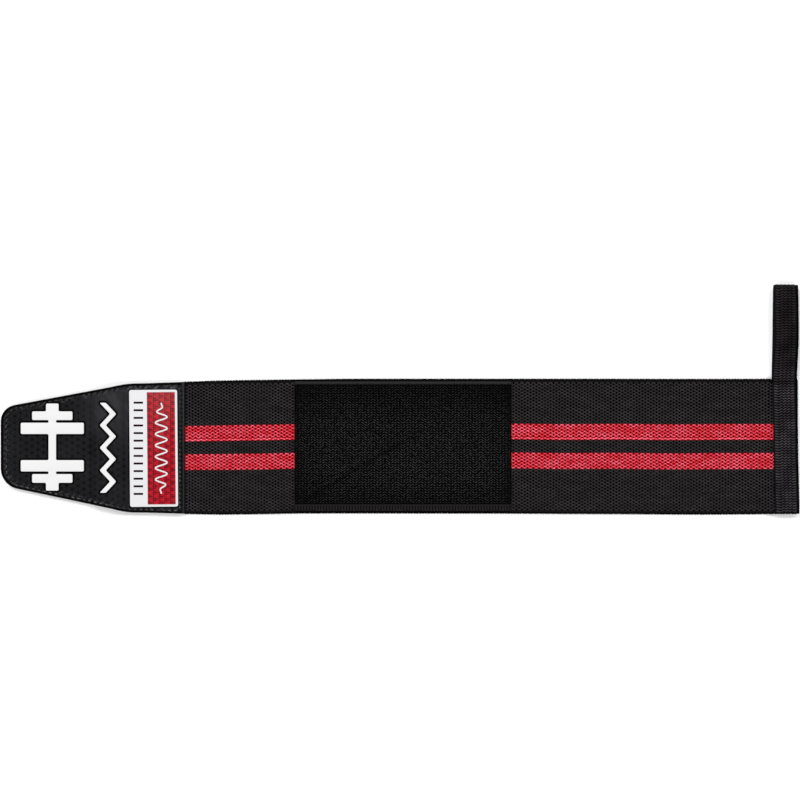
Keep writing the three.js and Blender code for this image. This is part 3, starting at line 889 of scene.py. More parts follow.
def label_ticks():
    """A plain row of short dark bars printed along the white strip."""
    ticks = []
    for place in range(TICK_COUNT):
        y = (LABEL_LOW.y + LABEL_HIGH.y) / 2 + (place - (TICK_COUNT - 1) / 2) * TICK_PITCH
        location = (LABEL_LOW.x + TICK_INSET, y, LABEL_HIGH.z + TICK_LIFT)
        bpy.ops.mesh.primitive_cube_add(size=1, location=location, scale=TICK_SIZE)
        tick = added("tick")
        bpy.ops.object.transform_apply(location=True, rotation=True, scale=True)
        ticks.append(finish_with(tick, "BEVEL", width=TICK_EDGE, segments=1))
    return joined("label_ticks", ticks)


def label_wave():
    """A plain white wave printed along the red field."""
    low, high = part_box("label_field")
    middle = (low + high) / 2
    turn = 2 * math.pi / MARK_WAVE
    obj = flat_grid("label_wave", 220, 2)

    def printed(co):
        run = co[:, 0] * MARK_LENGTH
        swing = MARK_SWING * smooth_step(0.5, 0.36, np.abs(co[:, 0]))
        slope = swing * turn * np.cos(run * turn)
        side = co[:, 1] * MARK_WIDTH / np.sqrt(1 + slope**2)
        x = middle.x + swing * np.sin(run * turn) + side
        y = middle.y - run + side * slope
        return np.column_stack([x, y, np.full(len(co), high.z + MARK_LIFT)])

    mould(obj, printed)
    return smooth(thickened(obj, MARK_THICKNESS), 40)


# Loop patch


def crease(x, y):
    """Depth from 0 to 1 of the two sewn creases, from the patch's middle."""
    length, width = PATCH_HIGH.x - PATCH_LOW.x, PATCH_HIGH.y - PATCH_LOW.y
    best = 0
    for row in PATCH_CREASES:
        line = [
            (row["from_x"] * length, row["from_y"] * width),
            (row["to_x"] * length, row["to_y"] * width),
        ]
        gap = distance_to_line(x, y, line)
        soft = 1 - smooth_step(0, CREASE_WIDTH / 2, gap)
        sharp = np.exp(-((gap / CREASE_LINE_WIDTH) ** 2))
        best = np.maximum(best, row["depth"] * (0.6 * soft + 0.5 * sharp))
    return best


def patch_height(x, y):
    """Height of the patch's face over its underside."""
    length = PATCH_HIGH.x - PATCH_LOW.x
    centre_x, centre_y = (PATCH_LOW.x + PATCH_HIGH.x) / 2, (PATCH_LOW.y + PATCH_HIGH.y) / 2
    top = PATCH_HIGH.y - PATCH_UPPER_SELVEDGE - y
    bottom = y - PATCH_LOW.y - PATCH_LOWER_SELVEDGE
    inset = np.minimum(np.minimum(top, bottom), length / 2 - np.abs(x - centre_x))
    rise = smooth_step(*PILE_EDGE_RISE, inset)
    pile = PATCH_HIGH.z - PATCH_LOW.z - PATCH_TAPE
    fuzz = ripple(x, y, 6 * MM, 5.1) * 0.5 + ripple(x, y, 3.4 * MM, 2.2) * 0.5
    dent = CREASE_DEPTH * crease(x - centre_x, y - centre_y)
    return PATCH_TAPE + rise * (pile - dent - PILE_SINK + PILE_FUZZ * fuzz)


def patch_mat():
    """The patch's ground: its raised middle, its creases and its two flat selvedges."""
    obj = flat_grid("patch_mat", *PATCH_GRID)
    size, middle = PATCH_HIGH - PATCH_LOW, (PATCH_HIGH + PATCH_LOW) / 2
    flat = points_of(obj)
    low_part = (flat[:, 1] + 0.5) * size.y - PATCH_LOWER_SELVEDGE
    high_part = (0.5 - flat[:, 1]) * size.y - PATCH_UPPER_SELVEDGE
    keep_attribute(obj, "upper_selvedge", (high_part < 0) & (high_part > 0.4 * MM - PATCH_UPPER_SELVEDGE))
    keep_attribute(obj, "lower_selvedge", low_part < 0)
    keep_attribute(obj, "crease", crease(flat[:, 0] * size.x, flat[:, 1] * size.y))
    keep_attribute(obj, "lift", np.ones(len(flat)))

    def brushed(co):
        x, y = middle.x + co[:, 0] * size.x, middle.y + co[:, 1] * size.y
        edge = np.minimum(size.x / 2 - np.abs(x - middle.x), size.y / 2 - np.abs(y - middle.y))
        roll = PATCH_ROLL * (1 - np.sqrt(np.clip(edge / PATCH_ROLL, 0, 1)))
        return np.column_stack([x, y, PATCH_LOW.z + patch_height(x, y) - roll])

    mould(obj, brushed)
    extrude_rim(obj, PATCH_ROLL)
    co = points_of(obj)
    co[len(flat) :, 2] = PATCH_LOW.z
    obj.data.vertices.foreach_set("co", co.ravel())
    in_edit(obj, all_selected, lambda: bpy.ops.mesh.fill_holes(sides=0))
    return smooth(face_outwards(obj), 60)


def one_pile_loop():
    """A thin bent thread with both ends down."""
    obj, stage = prism("patch_pile", 3, PILE_THREAD / 2, PILE_STEPS)
    angle = math.pi * (1 - stage / PILE_STEPS)

    def bent(co):
        x = (PILE_SPAN / 2 + co[:, 0]) * np.cos(angle)
        z = (PILE_HEIGHT + co[:, 0]) * np.sin(angle) * 1.1 - 0.25 * PILE_HEIGHT
        return np.column_stack([x, co[:, 1], z])

    return face_outwards(mould(obj, bent))


def patch_pile():
    """The raised loops of the pile: one loop repeated in rows, then each turned and leant its own way."""
    loop = one_pile_loop()
    size = len(loop.data.vertices)
    lift = points_of(loop)[:, 2]
    lift = (lift - lift.min()) / (lift.max() - lift.min())
    count_x = PILE_BANDS * 2
    repeat(loop, count_x, (PILE_COLUMN, 0, 0))
    repeat(loop, PILE_ROWS, (0, PILE_PITCH, 0))
    rng = np.random.default_rng(11)

    def ruffled(co):
        copies = co.reshape(-1, size, 3)
        total = len(copies)
        column, line = np.arange(total) % count_x, np.arange(total) // count_x
        home = np.column_stack([column * PILE_COLUMN, line * PILE_PITCH, np.zeros(total)])
        local = copies - home[:, None, :]
        from_start = home[:, 0] + PILE_COLUMN / 2
        band = 1 - np.floor(from_start / PILE_BAND) % 2 * 2
        angle = band * PILE_SLANT + rng.normal(0, PILE_TURN_SPREAD, total)
        grow = rng.uniform(*PILE_GROWTH, total)
        lean = rng.normal(0, PILE_LEAN_SPREAD, (total, 2))
        cos, sin = np.cos(angle)[:, None], np.sin(angle)[:, None]
        x = (local[..., 0] * cos - local[..., 1] * sin) * grow[:, None] + local[..., 2] * lean[:, :1]
        y = (local[..., 0] * sin + local[..., 1] * cos) * grow[:, None] + local[..., 2] * lean[:, 1:]
        z = local[..., 2] * grow[:, None]
        jitter = rng.uniform(-PILE_JITTER, PILE_JITTER, (total, 2)) * PILE_PITCH
        zigzag = np.abs((from_start / PILE_BAND) % 2 - 1) * PILE_FALL
        at_x = PILE_START_X + from_start + jitter[:, 0]
        at_y = home[:, 1] + jitter[:, 1] - zigzag
        at_y = PILE_LOW_Y + at_y % (PILE_HIGH_Y - PILE_LOW_Y)
        ground = PATCH_LOW.z + patch_height(at_x, at_y)
        placed = np.stack([x + at_x[:, None], y + at_y[:, None], z + ground[:, None]], axis=2)
        return placed.reshape(-1, 3)

    mould(loop, ruffled)
    middle = (PATCH_LOW + PATCH_HIGH) / 2
    co = points_of(loop)
    # Crease depth and height within each loop, which the finish turns into painted shade
    keep_attribute(loop, "crease", crease(co[:, 0] - middle.x, co[:, 1] - middle.y))
    keep_attribute(loop, "lift", np.tile(lift, len(co) // size))
    return smooth(loop)


# Thumb loop


def tape_runs():
    """The sideways place of the tape's upper and lower run along Y, read from its node."""
    co = points_of(frame["nodes"]["thumb_loop"])
    places = np.unique(co[:, 1].round(5))
    over, under = [], []
    for place in places:
        row = co[np.abs(co[:, 1] - place) < 1.5e-5]
        high = row[row[:, 2] > TAPE_THICKNESS * 1.2]
        low = row[row[:, 2] <= TAPE_THICKNESS * 1.2]
        for run, part in ((over, high), (under, low)):
            if len(part) > 3:
                run.append((place, (part[:, 0].min() + part[:, 0].max()) / 2))
    return np.array(over), np.array(under)


def tape_path():
    """The tape's middle line from its upper cut end, round the fold, to its lower cut end."""
    over, under = tape_runs()
    cut_y = TAPE_LOW.y
    edge_y = float(along(STRAP, "upper", STRAP_END_X))
    ground_z = TAPE_THICKNESS / 2
    over_z = float(along(STRAP, "top", STRAP_END_X)) + LAYER_GAP + TAPE_THICKNESS / 2
    loop_z = TAPE_HIGH.z - TAPE_THICKNESS / 2
    radius = (loop_z - ground_z) / 2
    turn_y = TAPE_HIGH.y - TAPE_THICKNESS / 2 - radius
    rise_y = edge_y + LAYER_GAP
    y_up = np.linspace(cut_y, turn_y, 240)
    z_up = over_z + (loop_z - over_z) * smooth_step(rise_y, rise_y + LOOP_RISE_LENGTH, y_up)
    angle = np.linspace(math.pi / 2, -math.pi / 2, 26)[1:-1]
    y_turn = turn_y + radius * np.cos(angle)
    z_turn = ground_z + radius + radius * np.sin(angle)
    y_back = np.linspace(turn_y, cut_y, 120)
    y = np.concatenate([y_up, y_turn, y_back])
    z = np.concatenate([z_up, z_turn, np.full(len(y_back), ground_z)])
    x_over = np.interp(y, over[:, 0], over[:, 1])
    x_under = np.interp(y, under[:, 0], under[:, 1])
    blend = np.concatenate([np.zeros(len(y_up)), np.linspace(0, 1, len(angle)), np.ones(len(y_back))])
    x = x_over * (1 - blend) + x_under * blend
    run = np.concatenate([[0], np.cumsum(np.hypot(np.diff(y), np.diff(z)))])
    ahead = np.column_stack([np.gradient(y), np.gradient(z)])
    ahead /= np.linalg.norm(ahead, axis=1)[:, None]
    return {"run": run, "x": x, "y": y, "z": z, "out_y": -ahead[:, 1], "out_z": ahead[:, 0]}


TAPE = tape_path()
TAPE_LENGTH = TAPE["run"][-1]


def on_tape(co):
    """Lays a form made flat, x across and y along the tape, on the folded tape."""
    across, run, height = co.T
    path = {key: np.interp(run, TAPE["run"], TAPE[key]) for key in TAPE}
    z = np.maximum(path["z"] + height * path["out_z"], FLOOR_CLEARANCE)
    return np.column_stack([path["x"] + across, path["y"] + height * path["out_y"], z])


def loop_tape():
    """The tape itself, a little thicker along both selvedges."""
    obj = flat_grid("loop_tape", 14, 300)
    half = TAPE_CORE / 2

    def folded(co):
        across, run = co[:, 0] * TAPE_WIDTH, (co[:, 1] + 0.5) * TAPE_LENGTH
        edge = TAPE_WIDTH / 2 - np.abs(across)
        swell = TAPE_SWELL * smooth_step(2.2 * MM, 0.9 * MM, edge)
        return on_tape(np.column_stack([across, run, half + swell]))

    keep_attribute(obj, "along", (points_of(obj)[:, 1] + 0.5) * TAPE_LENGTH)
    keep_attribute(obj, "across", points_of(obj)[:, 0] * TAPE_WIDTH)
    mould(obj, folded)
    finish_with(obj, "SOLIDIFY", thickness=TAPE_CORE, offset=-1)
    finish_with(
        obj, "BEVEL", width=TAPE_EDGE, segments=2, limit_method="ANGLE", angle_limit=math.radians(60)
    )
    return smooth(face_outwards(obj), 50)


def loop_ribs(name, side):
    """Slanted ribs across the tape's outer face, or its inner face with side -1."""
    low, high = -TAPE_WIDTH / 2 + RIB_LEFT_MARGIN, TAPE_WIDTH / 2 - RIB_RIGHT_MARGIN
    count = int(TAPE_LENGTH / RIB_PITCH) - 1
    obj, size = yarn_rows(
        name, low, high, range(count), RIB_PITCH, RIB_PITCH * RIB_WIDTH, RIB_HEIGHT * 2, RIB_STEP
    )
    row_of = np.repeat(np.arange(count, dtype=float), size)
    across = [row["across"] * MM - TAPE_WIDTH / 2 for row in RIB_LINE]
    lead = [row["lead"] * MM for row in RIB_LINE]

    def slanted(co):
        x, y, z = co.T
        from_middle = y + row_of * RIB_PITCH
        drift = RIB_DRIFT * ripple(row_of * RIB_PITCH, x, 23 * MM, 1.1)
        run = (row_of + 1) * RIB_PITCH - np.interp(x + drift, across, lead) + from_middle
        from_break = np.min([np.abs(x + TAPE_WIDTH / 2 - place * MM) for place in RIB_BREAKS], axis=0)
        thin = 1 - RIB_BREAK_DEPTH * np.exp(-((from_break / RIB_BREAK_WIDTH) ** 2))
        run += from_middle * (thin - 1)
        fade = smooth_step(0, RIB_FADE, np.minimum(x - low, high - x)) * thin
        lift = RIB_HEIGHT * (0.05 + 0.25 * fade) + RIB_LIFT * ripple(run, x * 3, 11 * MM, 0.6)
        height = side * (TAPE_CORE / 2 + lift + z * (0.4 + 0.6 * fade))
        return on_tape(np.column_stack([x, np.clip(run, 0.2 * MM, TAPE_LENGTH - 0.2 * MM), height]))

    mould(obj, slanted)
    return smooth(face_outwards(obj))


def tape_seams():
    """The short seam across the tape's cut end."""
    x = float(TAPE["x"][0])
    y = TAPE_LOW.y + TAPE_STITCH_INSET
    return [np.array([[x + reach, y] for reach in TAPE_SEAM_REACH])]


# Hook fastener


def hook_tape():
    """The plain tape that carries the hooks, tapered with the tab."""
    obj = flat_grid("hook_tape", 40, 16)

    def cut(co):
        x = HOOKS["x"][0] + (HOOKS["x"][-1] - HOOKS["x"][0]) * (co[:, 0] + 0.5) ** 1.5
        lower, upper = along(HOOKS, "lower", x), along(HOOKS, "upper", x)
        y = lower + (co[:, 1] + 0.5) * (upper - lower)
        return np.column_stack([x, y, along(HOOKS, "top", x)])

    mould(obj, cut)
    return smooth(thickened(obj, HOOK_BASE_THICKNESS), 40)


def hook_field():
    """Rows of small hooks that point down from the hook tape."""
    hook, stage = prism("hook_field", 4, HOOK_THREAD / 2, len(HOOK_STEPS) - 1)
    room = float(along(HOOKS, "top", HOOKS["x"][3])) - HOOK_BASE_THICKNESS
    step = {key: np.array([row[key] for row in HOOK_STEPS])[stage] for key in HOOK_STEPS[0]}

    def bent(co):
        x = step["along"] * MM + co[:, 0] * np.cos(step["turn"])
        z = room + 0.05 * MM - step["down"] * MM - co[:, 0] * np.sin(step["turn"])
        return np.column_stack([x, co[:, 1], z])

    face_outwards(mould(hook, bent))
    size = len(hook.data.vertices)
    low_x, high_x = HOOKS["x"][0] + HOOK_MARGIN, HOOKS["x"][-1] - HOOK_MARGIN
    low_y, high_y = HOOKS["lower"].min(), HOOKS["upper"].max()
    places = []
    for column in range(int((high_x - low_x) / HOOK_PITCH)):
        for line in range(int((high_y - low_y) / HOOK_PITCH)):
            x, y = low_x + column * HOOK_PITCH, low_y + line * HOOK_PITCH
            if along(HOOKS, "lower", x) + HOOK_MARGIN < y < along(HOOKS, "upper", x) - HOOK_MARGIN:
                places.append((x, y, 1 if line % 2 else -1))
    places = np.array(places)
    repeat(hook, len(places), (MM, 0, 0))

    def spread(co):
        local = co.reshape(-1, size, 3).copy()
        local[..., 0] -= np.arange(len(places))[:, None] * MM
        side = places[:, 2:3]
        local[..., 0], local[..., 1] = local[..., 0] * side, local[..., 1] * side
        local[..., 0] += places[:, :1]
        local[..., 1] += places[:, 1:2]
        return local.reshape(-1, 3)

    mould(hook, spread)
    return smooth(hook)


# Shader maths


class Value:
    """A shader socket in a Python expression. Each operator adds its Math node."""

    def __init__(self, finish, socket):
        self.finish = finish
        self.socket = socket

    def maths(self, operation, *values):
        return self.finish.node("ShaderNodeMath", {"operation": operation}, values)

    def __add__(self, other):
        return self.maths("ADD", self, other)

    def __radd__(self, other):
        return self.maths("ADD", other, self)

    def __sub__(self, other):
        return self.maths("SUBTRACT", self, other)

    def __rsub__(self, other):
        return self.maths("SUBTRACT", other, self)

    def __mul__(self, other):
        return self.maths("MULTIPLY", self, other)

    def __rmul__(self, other):
        return self.maths("MULTIPLY", other, self)

    def __truediv__(self, other):
        return self.maths("DIVIDE", self, other)

    def __rtruediv__(self, other):
        return self.maths("DIVIDE", other, self)

    def __mod__(self, other):
        return self.maths("FLOORED_MODULO", self, other)

    def __abs__(self):
        return self.maths("ABSOLUTE", self)

    def sin(self):
        return self.maths("SINE", self)

    def step(self, low, high):
        """0 below low, 1 above high, smooth between."""
        return self.finish.node(
            "ShaderNodeMapRange",
            {"interpolation_type": "SMOOTHSTEP"},
            {"Value": self, "From Min": low, "From Max": high},
        )

    def within(self, low, high):
        return self.maths("GREATER_THAN", self, low) * self.maths("LESS_THAN", self, high)


class Finish:
    """A material of one piece: a Principled shader with its constants set on the sockets."""

    def __init__(self, name, **constants):
        self.material = bpy.data.materials.new(name)
        self.material.use_nodes = True
        self.nodes = self.material.node_tree.nodes
        self.links = self.material.node_tree.links
        self.shader = self.nodes["Principled BSDF"]
        for socket, value in constants.items():
            self.shader.inputs[socket.replace("_", " ")].default_value = value

    def node(self, kind, settings=None, inputs=(), output=0):
        made = self.nodes.new(kind)
        for setting, value in (settings or {}).items():
            setattr(made, setting, value)
        pairs = inputs.items() if isinstance(inputs, dict) else enumerate(inputs)
        for socket, value in pairs:
            if isinstance(value, Value):
                self.links.new(value.socket, made.inputs[socket])
            else:
                made.inputs[socket].default_value = value
        return Value(self, made.outputs[output])

    def place(self):
        """Object coordinates, as one vector and as x, y and z."""
        vector = self.node("ShaderNodeTexCoord", output="Object")
        parts = self.nodes.new("ShaderNodeSeparateXYZ")
        self.links.new(vector.socket, parts.inputs[0])
        return vector, *(Value(self, parts.outputs[axis]) for axis in range(3))

    def attribute(self, name):
        return self.node("ShaderNodeAttribute", {"attribute_name": name}, output="Fac")

    def vector(self, x, y, z):
        return self.node("ShaderNodeCombineXYZ", None, (x, y, z))

    def noise(self, vector, scale, detail=3.0, roughness=0.5):
        return self.node(
            "ShaderNodeTexNoise",
            None,
            {"Vector": vector, "Scale": scale, "Detail": detail, "Roughness": roughness},
        )

    def mix(self, factor, first, second):
        """A colour between two colours."""
        made = self.nodes.new("ShaderNodeMix")
        made.data_type = "RGBA"
        for socket, value in (
            (made.inputs["Factor"], factor),
            (made.inputs[6], first),
            (made.inputs[7], second),
        ):
            if isinstance(value, Value):
                self.links.new(value.socket, socket)
            elif socket.type == "RGBA":
                socket.default_value = (*value, 1)
            else:
                socket.default_value = value
        return Value(self, made.outputs[2])

    def feed(self, socket, value):
        if isinstance(value, Value):
            self.links.new(value.socket, self.shader.inputs[socket])
        elif socket == "Base Color":
            self.shader.inputs[socket].default_value = (*value, 1)
        else:
            self.shader.inputs[socket].default_value = value
        return self

    def bump(self, height, distance, strength=1.0):
        normal = self.node(
            "ShaderNodeBump", None, {"Strength": strength, "Distance": distance, "Height": height}
        )
        return self.feed("Normal", normal)


def paint(obj, finish):
    obj.data.materials.clear()
    obj.data.materials.append(finish.material)
    return obj


def linear(red, green, blue):
    """A colour in shader units that shows as these 0 to 255 screen values under the studio light."""
    parts = []
    for part in (red, green, blue):
        share = part / 255
        shade = share / 12.92 if share <= 0.04045 else ((share + 0.055) / 1.055) ** 2.4
        parts.append(shade / LIGHT_LEVEL)
    return tuple(parts)


# Finishes


def yarn_finish(name, dark, middle, light, roughness, gloss):
    """Yarn along X: fine filaments that follow the wave, a little uneven from row to row. Its colour carries
    painted shade on each yarn's low sides and in the pits, and a painted highlight on its top at every bend.
    """
    finish = Finish(name, Roughness=roughness, Specular_IOR_Level=gloss)
    _, x, y, z = finish.place()
    unwaved = y - (x * (2 * math.pi / WAVE_LENGTH)).sin() * (WAVE_SWING * ROW_PITCH)
    filaments = finish.noise(finish.vector(x * 0.18, unwaved, z), 5200.0, 2.0)
    patches = finish.noise(finish.vector(x, y * 3, z), 90.0, 3.0)
    # Painted shade and highlight: the colour darkens where the yarn lies low in its row and lightens on its
    # top at the bends
    low = finish.attribute("rise").step(0.5, 0.95)
    uneven = filaments.step(0.32, 0.7) * 0.25 + patches.step(0.3, 0.7) * 0.08
    tone = (uneven + finish.attribute("bend") * 0.25 + 0.335) * low
    shaded_flank = finish.mix(tone.step(0.0, 0.6), dark, middle)
    finish.feed("Base Color", finish.mix(tone.step(0.5, 0.95), shaded_flank, light))
    return finish.bump(filaments, 0.06 * MM, 0.5)


def core_finish():
    """The core between the rows, dark red behind the stripes, with the rows pressed in underneath. Its
    near-black and dark red base colours are painted shade in the pits and between the pressed rows.
    """
    finish = Finish("core_black", Roughness=0.9, Specular_IOR_Level=0.01)
    _, x, _, z = finish.place()
    across = finish.attribute("across")
    row = (STRAP_WIDTH / 2 - across) / ROW_PITCH
    red = row.within(*RED_BANDS[0]) + row.within(*RED_BANDS[1])
    turn = 2 * math.pi / WAVE_LENGTH
    wave = (row + (x * turn).sin() * WAVE_SWING) % 1
    ridge = 1 - abs(wave * 2 - 1)
    below = 1 - z.step(CORE_BOTTOM, CORE_BOTTOM + 0.3 * MM)
    # Painted shade: these base colours stand for the shade in the pits between the rows
    base = finish.mix(red, linear(1, 1, 1), linear(124, 0, 4))
    shown = finish.mix(red, linear(40, 39, 40), linear(190, 44, 60))
    finish.feed("Base Color", finish.mix(ridge.step(0.15, 0.75) * below, base, shown))
    return finish.bump(ridge * below, 0.4 * MM, 0.8)


def leather_finish():
    """Embossed synthetic leather: the pressed lines carry painted shade, darker than the facets; the smooth
    stretched part has a painted sheen, and the gathers and the end lip painted highlights.
    """
    finish = Finish("embossed_leather", Specular_IOR_Level=0.04)
    vector, x, y, z = finish.place()
    grain = finish.noise(vector, 2600.0, 4.0, 0.6)
    patches = finish.noise(vector, 60.0, 3.0)
    lines = 0
    for turn in EMBOSS_TURNS:
        across = x * math.cos(turn) + y * math.sin(turn)
        gap = abs((across / EMBOSS_PITCH + 0.5) % 1 - 0.5)
        lines = lines + (1 - gap.step(0.03, 0.24))
    # Painted shade in the pressed lines of the lattice
    dark = lines * 0.4 * finish.attribute("lattice")
    shade = finish.attribute("shade")
    tone = finish.mix(dark, linear(31, 31, 33), linear(1, 1, 1))
    # Painted sheen on the smooth stretched part, streaked by the crease noise with painted highlights; the
    # patches are the leather's own uneven tone
    smooth_sheen = (x - TIP_X).step(*SHEEN_ALONG) * y.step(*SHEEN_ACROSS) * SHEEN_STRENGTH
    creases = finish.noise(finish.vector(x + y * 0.7, y * 0.3, z), 330.0, 3.0).step(0.42, 0.68) * 0.9
    tone_and_sheen = patches.step(0.35, 0.75) * 0.2 + smooth_sheen * (1 + creases)
    toned = finish.mix(tone_and_sheen, tone, linear(55, 55, 58))
    shaded = finish.mix(shade, toned, linear(1, 1, 1))
    # Painted highlights on the gathers
    pucker_lit = finish.mix(finish.attribute("pucker"), shaded, linear(88, 88, 92))
    # Painted highlight along the raised end lip
    finish.feed("Base Color", finish.mix(finish.attribute("worn"), pucker_lit, linear(66, 66, 69)))
    finish.feed("Roughness", 0.3 + grain * 0.15)
    return finish.bump(grain, 0.03 * MM, 0.4)


def thread_finish(name, dark, light):
    """Twisted thread, lumpy, and lighter along the tab's lower edge than along its upper one, where painted
    shade darkens it.
    """
    finish = Finish(name, Roughness=0.5, Specular_IOR_Level=0.04)
    vector, x, y, z = finish.place()
    twist = ((x + y + z * 2) * (2 * math.pi / THREAD_TWIST)).sin()
    lumps = finish.noise(vector, 700.0, 2.0).step(0.35, 0.65)
    # Painted shade: thread towards the tab's upper side is darkened
    tone = (twist * 0.2 + 0.2 + lumps * 0.6) * (1 - y.step(*THREAD_SHADE_ACROSS) * 0.55)
    finish.feed("Base Color", finish.mix(tone, dark, light))
    return finish.bump(twist, 0.04 * MM, 0.6)


def hole_shade_finish():
    """Painted shade: the near-black colour of the domes and blobs that stand for the dark inside of needle
    holes and of the gaps between stitches.
    """
    finish = Finish("needle_hole", Roughness=0.9, Specular_IOR_Level=0.05)
    return finish.feed("Base Color", linear(6, 6, 7))


def rubber_finish(name, colour, shade, roughness, gloss=0.3):
    """Smooth satin rubber with a faint grain."""
    finish = Finish(name, Roughness=roughness, Specular_IOR_Level=gloss)
    vector, *_ = finish.place()
    cloud = finish.noise(vector, 120.0, 4.0)
    grain = finish.noise(vector, 3000.0, 2.0)
    finish.feed("Base Color", finish.mix(cloud.step(0.3, 0.8) * 0.5, colour, shade))
    return finish.bump(grain, 0.015 * MM, 0.3)


def red_field_finish():
    """Red rubber with a fine tone-on-tone net of triangles."""
    finish = Finish("red_rubber", Roughness=0.3, Specular_IOR_Level=0.15)
    vector, x, y, _ = finish.place()
    lines = 0
    cells = 0
    for turn in EMBOSS_TURNS:
        across = (x * math.cos(turn) + y * math.sin(turn)) / EMBOSS_PITCH
        gap = abs((across + 0.5) % 1 - 0.5)
        lines = lines + (1 - gap.step(0.02, 0.12))
        cells = cells + (across - across % 1)
    cloud = finish.noise(vector, 380.0, 3.0).step(0.3, 0.7)
    fine = 2 * math.pi / FINE_NET_PITCH
    net = ((x + y) * fine).sin() * ((x - y) * fine).sin()
    half = (cells % 2).step(0.4, 0.6)
    tone = half * 0.3 + lines * 0.1 + cloud * 0.25 + net.step(-0.2, 0.6) * (half * 0.6 + 0.25)
    finish.feed("Base Color", finish.mix(tone, linear(206, 29, 44), linear(86, 2, 16)))
    return finish.bump(lines, 0.04 * MM, 0.4)


def pile_finish(name, dark, light):
    """Brushed loops: dull, in slanted rows, darker towards the patch's edges and along its selvedges, with
    painted shade in the creases and at the loops' feet.
    """
    finish = Finish(name, Roughness=0.9, Specular_IOR_Level=0.01)
    vector, x, y, z = finish.place()
    fuzz = finish.noise(vector, 1500.0, 5.0, 0.7)
    zigzag = abs(((x - PILE_START_X) / PILE_BAND) % 2 - 1) * PILE_FALL
    rows = ((y + zigzag - PILE_LOW_Y) * (2 * math.pi / PILE_PITCH) + math.pi / 2).sin()
    clouds = finish.noise(vector, 28.0, 2.0)
    middle = (PATCH_LOW + PATCH_HIGH) / 2
    far_x = 1 - abs(x - middle.x).step(*PILE_DIM_ALONG) * 0.2
    far_y = 1 - (y - middle.y).step(*PILE_DIM_UPWARDS) * 0.5
    far_y = far_y - (middle.y - y).step(*PILE_DIM_DOWNWARDS) * 0.35
    # Painted shade in the creases
    crease_shade = 1 - finish.attribute("crease").step(0.2, 0.9) * 0.4
    sides = (x - PATCH_LOW.x).step(*PILE_DIM_SIDE) * (PATCH_HIGH.x - x).step(*PILE_DIM_SIDE)
    ends = (y - PILE_LOW_Y).step(*PILE_DIM_LOWER_END) * (PILE_HIGH_Y - y).step(*PILE_DIM_UPPER_END)
    inside = 0.5 + sides * ends * 0.5
    tone = fuzz.step(0.35, 0.7) * 0.4 + rows * 0.2 + clouds * 0.3 + 0.15
    # Painted shade at the loops' feet, by their height in the loop
    high = finish.attribute("lift").step(0.3, 0.95)
    pile = finish.mix(tone * far_x * far_y * crease_shade * inside * high, dark, light)
    upper = finish.mix(finish.attribute("upper_selvedge"), pile, linear(50, 49, 50))
    teeth = (x * (2 * math.pi / PATCH_STITCH_PITCH)).sin().step(0.1, 0.8)
    low = 1 - (y - PATCH_LOW.y).step(*PATCH_SEAM_TOP)
    band = finish.mix(teeth * low * 0.95, linear(40, 38, 39), linear(2, 2, 2))
    finish.feed("Base Color", finish.mix(finish.attribute("lower_selvedge"), upper, band))
    return finish.bump(fuzz + rows * 0.4, 0.3 * MM, 0.8)


def tape_finish(name, dark, light):
    """Ribbed elastic tape: threads run across it, the free loop is darker than the sewn part, and a painted
    shadow crosses it where it passes over the strap's edge.
    """
    finish = Finish(name, Roughness=0.6, Specular_IOR_Level=0.01)
    vector, x, y, z = finish.place()
    threads = finish.noise(finish.vector(x * 0.15, y, z), 4200.0, 2.0)
    patches = finish.noise(vector, 150.0, 2.0)
    # Painted shadow across the tape where it passes over the strap's edge
    bend = y.step(*TAPE_SHADOW_START) - y.step(*TAPE_SHADOW_END)
    free = 1 - y.step(*TAPE_DIM_LOOP) * 0.5 - bend * 0.4
    tone = (threads.step(0.3, 0.7) * 0.4 + patches.step(0.3, 0.7) * 0.4 + 0.2) * free
    across = finish.attribute("across")
    sides = 1 - across.step(*TAPE_PALE_LEFT) * (1 - across.step(*TAPE_PALE_RIGHT))
    selvedge = sides * 0.45 + across.step(*TAPE_SELVEDGE) * 0.25
    rim = across.step(*TAPE_RIM)
    plain = finish.mix(selvedge * free, finish.mix(tone, dark, light), linear(27, 25, 27))
    finish.feed("Base Color", finish.mix(rim, plain, linear(2, 2, 2)))
    return finish.bump(threads, 0.07 * MM, 0.6)


def hook_finish():
    """Dull black plastic with a faint grain."""
    finish = Finish("hook_black", Roughness=0.55)
    vector, *_ = finish.place()
    grain = finish.noise(vector, 1800.0, 3.0)
    finish.feed("Base Color", finish.mix(grain, linear(14, 14, 15), linear(36, 36, 38)))
    return finish.bump(grain, 0.05 * MM, 0.5)


def floor_finish():
    """Pale matt paper."""
    finish = Finish("floor_white", Roughness=0.9, Specular_IOR_Level=0.1)
    vector, *_ = finish.place()
    cloud = finish.noise(vector, 3.0, 2.0)
    return finish.feed("Base Color", finish.mix(cloud * 0.1, (0.93, 0.93, 0.93), (0.9, 0.9, 0.9)))


# Camera, floor and light


